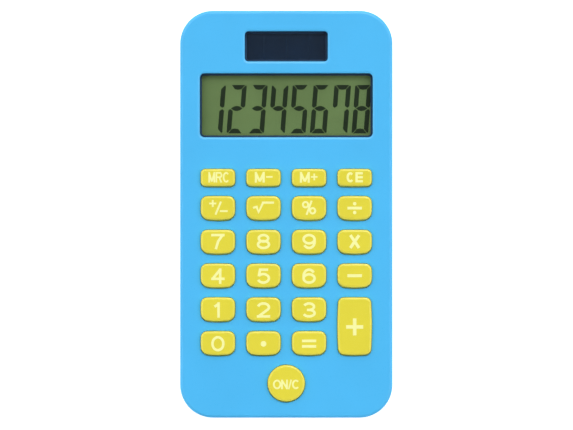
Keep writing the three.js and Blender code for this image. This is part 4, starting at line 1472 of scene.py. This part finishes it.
def screw_tree():
    """Screws, point up, on the middles of their heads' lower faces, each with a cross recess."""
    names = (
        "Radius", "Height", "Roundness", "Shank radius", "Shank length", "Shank sunk", "Recess width",
        "Recess depth", "Recess length",
    )
    tree, given = new_tree("screws", names)
    head = round_disc(tree, *[given[name] for name in names[:3]])
    size = {"Vertices": 24, "Radius": given["Shank radius"], "Depth": given["Shank length"]}
    shank = add_node(tree, "GeometryNodeMeshCylinder", size)
    middle_up = {0: given["Shank length"], 1: 0.5, 2: given["Shank sunk"]}
    lift = add_node(tree, "ShaderNodeMath", middle_up, operation="MULTIPLY_ADD")
    up = add_node(tree, "ShaderNodeCombineXYZ", {2: lift})
    raised = add_node(tree, "GeometryNodeTransform", {"Geometry": shank, "Translation": up})
    body = add_node(tree, "GeometryNodeMeshBoolean", {"Mesh 2": head}, operation="UNION")
    set_inputs(tree, body, {"Mesh 2": raised})
    deep = add_node(tree, "ShaderNodeMath", {0: given["Recess depth"], 1: 2.0}, operation="MULTIPLY")
    recess = add_node(tree, "GeometryNodeMeshBoolean", {"Mesh 1": body}, operation="DIFFERENCE")
    wide, long = given["Recess width"], given["Recess length"]
    for across, along in ((wide, long), (long, wide)):
        size = add_node(tree, "ShaderNodeCombineXYZ", {0: across, 1: along, 2: deep})
        slot = add_node(tree, "GeometryNodeMeshCube", {"Size": size})
        set_inputs(tree, recess, {"Mesh 2": slot})
    end_tree(tree, given, recess)
    return tree


def rib_tree():
    """Round-ended bars along X, half sunk, with their middles on the points."""
    tree, given = new_tree("ribs", ("Length", "Width", "Height"))
    ball = add_node(tree, "GeometryNodeMeshUVSphere", {"Segments": 24, "Rings": 12, "Radius": 0.5})
    place = add_node(tree, "GeometryNodeInputPosition")
    parts = add_node(tree, "ShaderNodeSeparateXYZ", {0: place}).outputs
    maths = "ShaderNodeMath"
    long, wide, high = given["Length"], given["Width"], given["Height"]
    side = add_node(tree, maths, {0: parts["X"]}, operation="SIGN")
    straight = add_node(tree, maths, {0: long, 1: wide}, operation="SUBTRACT")
    half = add_node(tree, maths, {0: straight, 1: 0.5}, operation="MULTIPLY")
    out = add_node(tree, maths, {0: side, 1: half}, operation="MULTIPLY")
    push = add_node(tree, "ShaderNodeCombineXYZ", {0: out})
    tall = add_node(tree, maths, {0: high, 1: 2.0}, operation="MULTIPLY")
    size = add_node(tree, "ShaderNodeCombineXYZ", {0: wide, 1: wide, 2: tall})
    scaled = {0: place, 1: size, 2: push}
    where = add_node(tree, "ShaderNodeVectorMath", scaled, operation="MULTIPLY_ADD")
    bar = add_node(tree, "GeometryNodeSetPosition", {"Geometry": ball, "Position": where})
    end_tree(tree, given, bar)
    return tree


def fitted_piece(name, tree, points, sizes, material, body):
    """The result of a tree on points, as one plain piece."""
    mesh = bpy.data.meshes.new(name)
    mesh.from_pydata(points, [], [])
    holder = bpy.data.objects.new(name, mesh)
    bpy.context.scene.collection.objects.link(holder)
    modifier = holder.modifiers.new("nodes", "NODES")
    modifier.node_group = tree
    values = {"Material": material, **sizes}
    for socket in tree.interface.items_tree:
        if socket.in_out == "INPUT" and socket.name in values:
            modifier[socket.identifier] = values[socket.name]
    result = evaluated_mesh(holder)
    bpy.data.objects.remove(holder)
    return finish_piece(name, result, material, body)


class CALCULATOR_OT_fittings(bpy.types.Operator):
    """Makes the screws, the rubber feet and the battery door's grip ribs"""

    bl_idname = "calculator.fittings"
    bl_label = "Fittings"

    def execute(self, context):
        fittings = context.scene.calculator_fittings
        zinc = plated_steel("zinc-plated steel, barrelled", "#C0C3C6", 0.5 * MM)
        tree = screw_tree()
        small = (fittings.small_shank, fittings.small_head_height)
        groups = (
            ("case_screws", CASE_SCREWS, fittings.shank, fittings.head_height, "case"),
            ("board_screws", BOARD_SCREWS, *small, "case"),
            ("door_screw", ["battery_door_screw"], *small, "battery_cover"),
        )
        for name, nodes, shank, head, body in groups:
            low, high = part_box(nodes[0])
            radius = radius_of(nodes[0])
            # The shank starts inside the head, so that the two join cleanly
            sunk = 0.8 * head
            sizes = {
                "Radius": radius, "Height": head, "Roundness": fittings.roundness,
                "Shank radius": shank, "Shank length": high.z - low.z - sunk, "Shank sunk": sunk,
                "Recess width": fittings.recess_width, "Recess depth": fittings.recess_depth,
                "Recess length": fittings.recess_share * 2 * radius,
            }
            points = [(*middle(*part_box(node)), low.z) for node in nodes]
            screws = fitted_piece(name, tree, points, sizes, zinc, body)
            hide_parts(*nodes)
        low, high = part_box(FEET[0])
        points = [(*middle(*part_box(node)), low.z) for node in FEET]
        sizes = {"Radius": radius_of(FEET[0]), "Height": high.z - low.z, "Roundness": fittings.roundness}
        rubber = soft_rubber("moulded rubber, dark grey", fittings.foot_colour, 0.35 * MM)
        feet = fitted_piece("feet", foot_tree(), points, sizes, rubber, "case")
        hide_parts(*FEET)
        cell = middle(*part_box("button_cell"))
        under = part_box("battery_door")[0].z
        start = cell[1] - (fittings.rib_count - 1) / 2 * fittings.rib_pitch
        rows = [start + rib * fittings.rib_pitch for rib in range(fittings.rib_count)]
        points = [(cell[0], row, under) for row in rows]
        sizes = {
            "Length": fittings.rib_length, "Width": fittings.rib_width, "Height": fittings.rib_height
        }
        plastic = bpy.data.materials[CASE_PLASTIC]
        ribs = fitted_piece("battery_door_ribs", rib_tree(), points, sizes, plastic, "battery_cover")
        return {"FINISHED"}


# ---------------------------------------------------------------------------
# Key membrane and inner parts
# ---------------------------------------------------------------------------


def dome(name, rubber, sheet_top, top):
    """One hollow dome of the membrane, which gives way under its key."""
    fittings = bpy.context.scene.calculator_fittings
    centre = middle(*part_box(name))
    base, crown, wall = fittings.dome_base, fittings.dome_top, fittings.dome_skin
    edge = fittings.dome_edge
    skin = Skin()
    outer_low, outer_high = skin.stack(
        [
            (circle(base, centre, 32), sheet_top),
            (circle(base - 2 * edge, centre, 32), sheet_top + edge),
            (circle(crown + edge, centre, 32), top - edge),
            (circle(crown, centre, 32), top),
        ]
    )
    inner_low, inner_high = hole_wall(
        skin,
        [
            (circle(base - wall, centre, 32), sheet_top),
            (circle(crown - wall, centre, 32), top - wall),
        ],
    )
    skin.plate(outer_high)
    skin.plate(inner_high, up=False)
    skin.plate(outer_low, [inner_low], up=False)
    piece = skin.piece(f"{name}_dome", rubber, "case")
    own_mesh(piece)


class CALCULATOR_OT_membrane(bpy.types.Operator):
    """Moulds the silicone key membrane, a sheet with a dome under each key"""

    bl_idname = "calculator.membrane"
    bl_label = "Key membrane"

    def execute(self, context):
        fittings = context.scene.calculator_fittings
        low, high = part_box("key_membrane")
        sheet_top = low.z + fittings.sheet
        rubber = soft_rubber("moulded silicone rubber, pale grey", "#CFCFC8", 0.4 * MM)
        skin = Skin()
        size = (high.x - low.x, high.y - low.y)
        outline = rounded(*size, fittings.sheet_corner, middle(low, high), steps=8)
        bottom, top = skin.stack([(outline, low.z), (outline, sheet_top)])
        inner = fittings.dome_base - fittings.dome_skin
        holes = [circle(inner, middle(*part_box(name)), 32) for name in KEYS]
        rings = [hole_wall(skin, [(hole, low.z), (hole, sheet_top)]) for hole in holes]
        skin.plate(bottom, [ring for ring, _ in rings], up=False)
        skin.plate(top, [ring for _, ring in rings])
        mesh = mesh_of(skin)
        for node in CASE_SCREWS:
            centre = middle(*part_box(node))
            if low.y < centre[1] < high.y:
                cutter = Skin()
                hole = circle(fittings.post + fittings.post_gap, centre, 40)
                prism(cutter, hole, low.z - MM, sheet_top + MM)
                mesh = boolean(mesh, mesh_of(cutter), "DIFFERENCE")
        sheet = finish_piece("key_membrane_sheet", mesh, rubber, "case")
        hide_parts("key_membrane")
        for name in KEYS:
            dome(name, rubber, sheet_top, high.z)
        return {"FINISHED"}


class CALCULATOR_OT_inner_parts(bpy.types.Operator):
    """Finishes the circuit board, what it carries, the button cell and the leads"""

    bl_idname = "calculator.inner_parts"
    bl_label = "Inner parts"

    def execute(self, context):
        finish_node("circuit_board", phenolic_board("pressed paper phenolic, brown", "#8F6B33"))
        finish_node("chip_encapsulation", glazed("potted epoxy, black", "#131415", 0.3, 2 * MM))
        finish_node("capacitor", glazed("fired ceramic, tan", "#B28A5C", 0.45, 1 * MM))
        finish_node("diode", glazed("drawn glass, amber", "#B5532A", 0.15, 1 * MM))
        finish_node("button_cell", plated_steel("nickel-plated steel, drawn", "#C9CACB", 0.6 * MM))
        spring = plated_steel("nickel-plated spring steel, rolled", "#C8C6BE", 0.3 * MM)
        red = glazed("extruded PVC, red", "#B3251E", 0.4, 3 * MM)
        black = glazed("extruded PVC, black", "#1A1A1A", 0.4, 3 * MM)
        for name, material in (
            ("battery_contact_positive", spring), ("battery_contact_negative", spring),
            ("battery_lead_positive", red), ("solar_lead_positive", red),
            ("battery_lead_negative", black), ("solar_lead_negative", black),
        ):
            finish_node(name, material)
        return {"FINISHED"}


# ---------------------------------------------------------------------------
# Stage
# ---------------------------------------------------------------------------


def sun_light(name, direction, strength, spread):
    """A broad far lamp, whose light comes from a direction."""
    lamp = bpy.data.lights.new(name, "SUN")
    lamp.energy = strength
    lamp.angle = math.radians(spread)
    holder = bpy.data.objects.new(name, lamp)
    holder.location = Vector(direction)
    holder.rotation_euler = (-Vector(direction)).to_track_quat("-Z", "Y").to_euler()
    bpy.context.scene.collection.objects.link(holder)


def studio_world():
    """A white studio roof with a ring of soft lamps round a dark opening straight above, so that a flat
    face mirrors nothing bright, over darker walls, darkest behind the near end. The background shows
    white."""
    world = bpy.data.worlds.new("soft studio")
    world.use_nodes = True
    tree = world.node_tree
    tree.nodes.clear()
    place = add_node(tree, "ShaderNodeTexCoord")
    parts = add_node(tree, "ShaderNodeSeparateXYZ", {"Vector": place.outputs["Generated"]})
    # Each light ramp: the axis that a direction is measured on, where it starts and ends, and from what
    # strength to what strength it goes
    opening, walls, near_end, ring_foot, ring_top = [
        add_node(
            tree, "ShaderNodeMapRange",
            {"Value": parts.outputs[axis], "From Min": start, "From Max": end, "To Min": from_strength,
             "To Max": to_strength},
        )
        for axis, start, end, from_strength, to_strength in (
            ("Z", 0.955, 0.985, 0.85, 0.05),
            ("Z", 0.1, 0.55, 0.35, 1.0),
            ("Y", -0.6, -0.1, 0.06, 1.0),
            ("Z", 0.74, 0.8, 0.0, 2.0),
            ("Z", 0.88, 0.92, 1.0, 0.0),
        )
    ]
    roof = add_node(tree, "ShaderNodeMath", {0: opening, 1: walls}, operation="MULTIPLY")
    ring = add_node(tree, "ShaderNodeMath", {0: ring_foot, 1: ring_top}, operation="MULTIPLY")
    both = add_node(tree, "ShaderNodeMath", {0: roof, 1: ring}, operation="ADD")
    strength = add_node(tree, "ShaderNodeMath", {0: both, 1: near_end}, operation="MULTIPLY")
    lit = add_node(tree, "ShaderNodeBackground", {"Color": WHITE, "Strength": strength})
    shown = add_node(tree, "ShaderNodeBackground", {"Color": WHITE, "Strength": 1.0})
    rays = add_node(tree, "ShaderNodeLightPath")
    mix = add_node(tree, "ShaderNodeMixShader", {0: rays.outputs["Is Camera Ray"], 1: lit, 2: shown})
    add_node(tree, "ShaderNodeOutputWorld", {"Surface": mix})
    return world


def light_table(name, hex_colour):
    """Opal acrylic lit from below: an even glow, which leaves the shadows on it pale."""
    material, tree, shader = new_material(name)
    inputs = {
        "Base Color": tinted(tree, hex_colour, object_noise(tree, 3 * MM), 0.004),
        "Roughness": 0.9,
        "Emission Color": WHITE,
        "Emission Strength": 0.65,
    }
    set_inputs(tree, shader, inputs)
    return material


# What the camera takes in across the face's plane, and how far beside the calculator's middle it looks
VIEW_WIDTH = 161.7 * MM
VIEW_MIDDLE = (0.06 * MM, -0.22 * MM)

# Half the side of the square floor, in metres
FLOOR_REACH = 2.0


class CALCULATOR_OT_stage(bpy.types.Operator):
    """Lays a pale floor and sets the lamps and the camera"""

    bl_idname = "calculator.stage"
    bl_label = "Stage"

    def execute(self, context):
        scene = context.scene
        floor_mesh = bpy.data.meshes.new("floor")
        bm = bmesh.new()
        bmesh.ops.create_grid(bm, x_segments=1, y_segments=1, size=FLOOR_REACH)
        bm.to_mesh(floor_mesh)
        bm.free()
        floor_mesh.materials.append(light_table("opal acrylic light table, white", "#FAFAFA"))
        floor = bpy.data.objects.new("floor", floor_mesh)
        scene.collection.objects.link(floor)
        scene.world = studio_world()
        sun_light("far lamp", (0.15, 0.5, 0.85), 0.4, 20.0)
        camera = bpy.data.cameras.new("camera")
        camera.lens = 200.0
        camera.sensor_width = 36.0
        camera.clip_start = 0.01
        holder = bpy.data.objects.new("camera", camera)
        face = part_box("front_shell")[1].z
        distance = VIEW_WIDTH * camera.lens / camera.sensor_width
        holder.location = (*VIEW_MIDDLE, face + distance)
        scene.collection.objects.link(holder)
        scene.camera = holder
        scene.view_settings.view_transform = "Standard"
        return {"FINISHED"}


class CALCULATOR_PT_panel(bpy.types.Panel):
    """Lists the steps that build the calculator"""

    bl_idname = "CALCULATOR_PT_panel"
    bl_label = "Pocket calculator"
    bl_space_type = "VIEW_3D"
    bl_region_type = "UI"
    bl_category = "Calculator"

    def draw(self, context):
        for operator in OPERATORS:
            self.layout.operator(operator.bl_idname)


SETTINGS = {
    "calculator_case": CaseSettings,
    "calculator_keys": KeySettings,
    "calculator_display": DisplaySettings,
    "calculator_fittings": FittingSettings,
}
OPERATORS = (
    CALCULATOR_OT_stage,
    CALCULATOR_OT_front_shell,
    CALCULATOR_OT_keys,
    CALCULATOR_OT_legends,
    CALCULATOR_OT_display,
    CALCULATOR_OT_solar_cell,
    CALCULATOR_OT_rear_shell,
    CALCULATOR_OT_battery_door,
    CALCULATOR_OT_fittings,
    CALCULATOR_OT_membrane,
    CALCULATOR_OT_inner_parts,
)


def register():
    """Adds the classes and the settings to Blender."""
    for group in SETTINGS.values():
        bpy.utils.register_class(group)
    for operator in OPERATORS:
        bpy.utils.register_class(operator)
    bpy.utils.register_class(CALCULATOR_PT_panel)
    for name, group in SETTINGS.items():
        setattr(bpy.types.Scene, name, PointerProperty(type=group))


def unregister():
    """Takes the settings and the classes out of Blender again."""
    for name in SETTINGS:
        delattr(bpy.types.Scene, name)
    bpy.utils.unregister_class(CALCULATOR_PT_panel)
    for operator in reversed(OPERATORS):
        bpy.utils.unregister_class(operator)
    for group in reversed(SETTINGS.values()):
        bpy.utils.unregister_class(group)


def main():
    """Builds the calculator."""
    register()
    bpy.ops.calculator.stage()
    bpy.ops.calculator.front_shell()
    bpy.ops.calculator.keys()
    bpy.ops.calculator.legends()
    bpy.ops.calculator.display()
    bpy.ops.calculator.solar_cell()
    bpy.ops.calculator.rear_shell()
    bpy.ops.calculator.battery_door()
    bpy.ops.calculator.fittings()
    bpy.ops.calculator.membrane()
    bpy.ops.calculator.inner_parts()


if __name__ == "__main__":
    main()
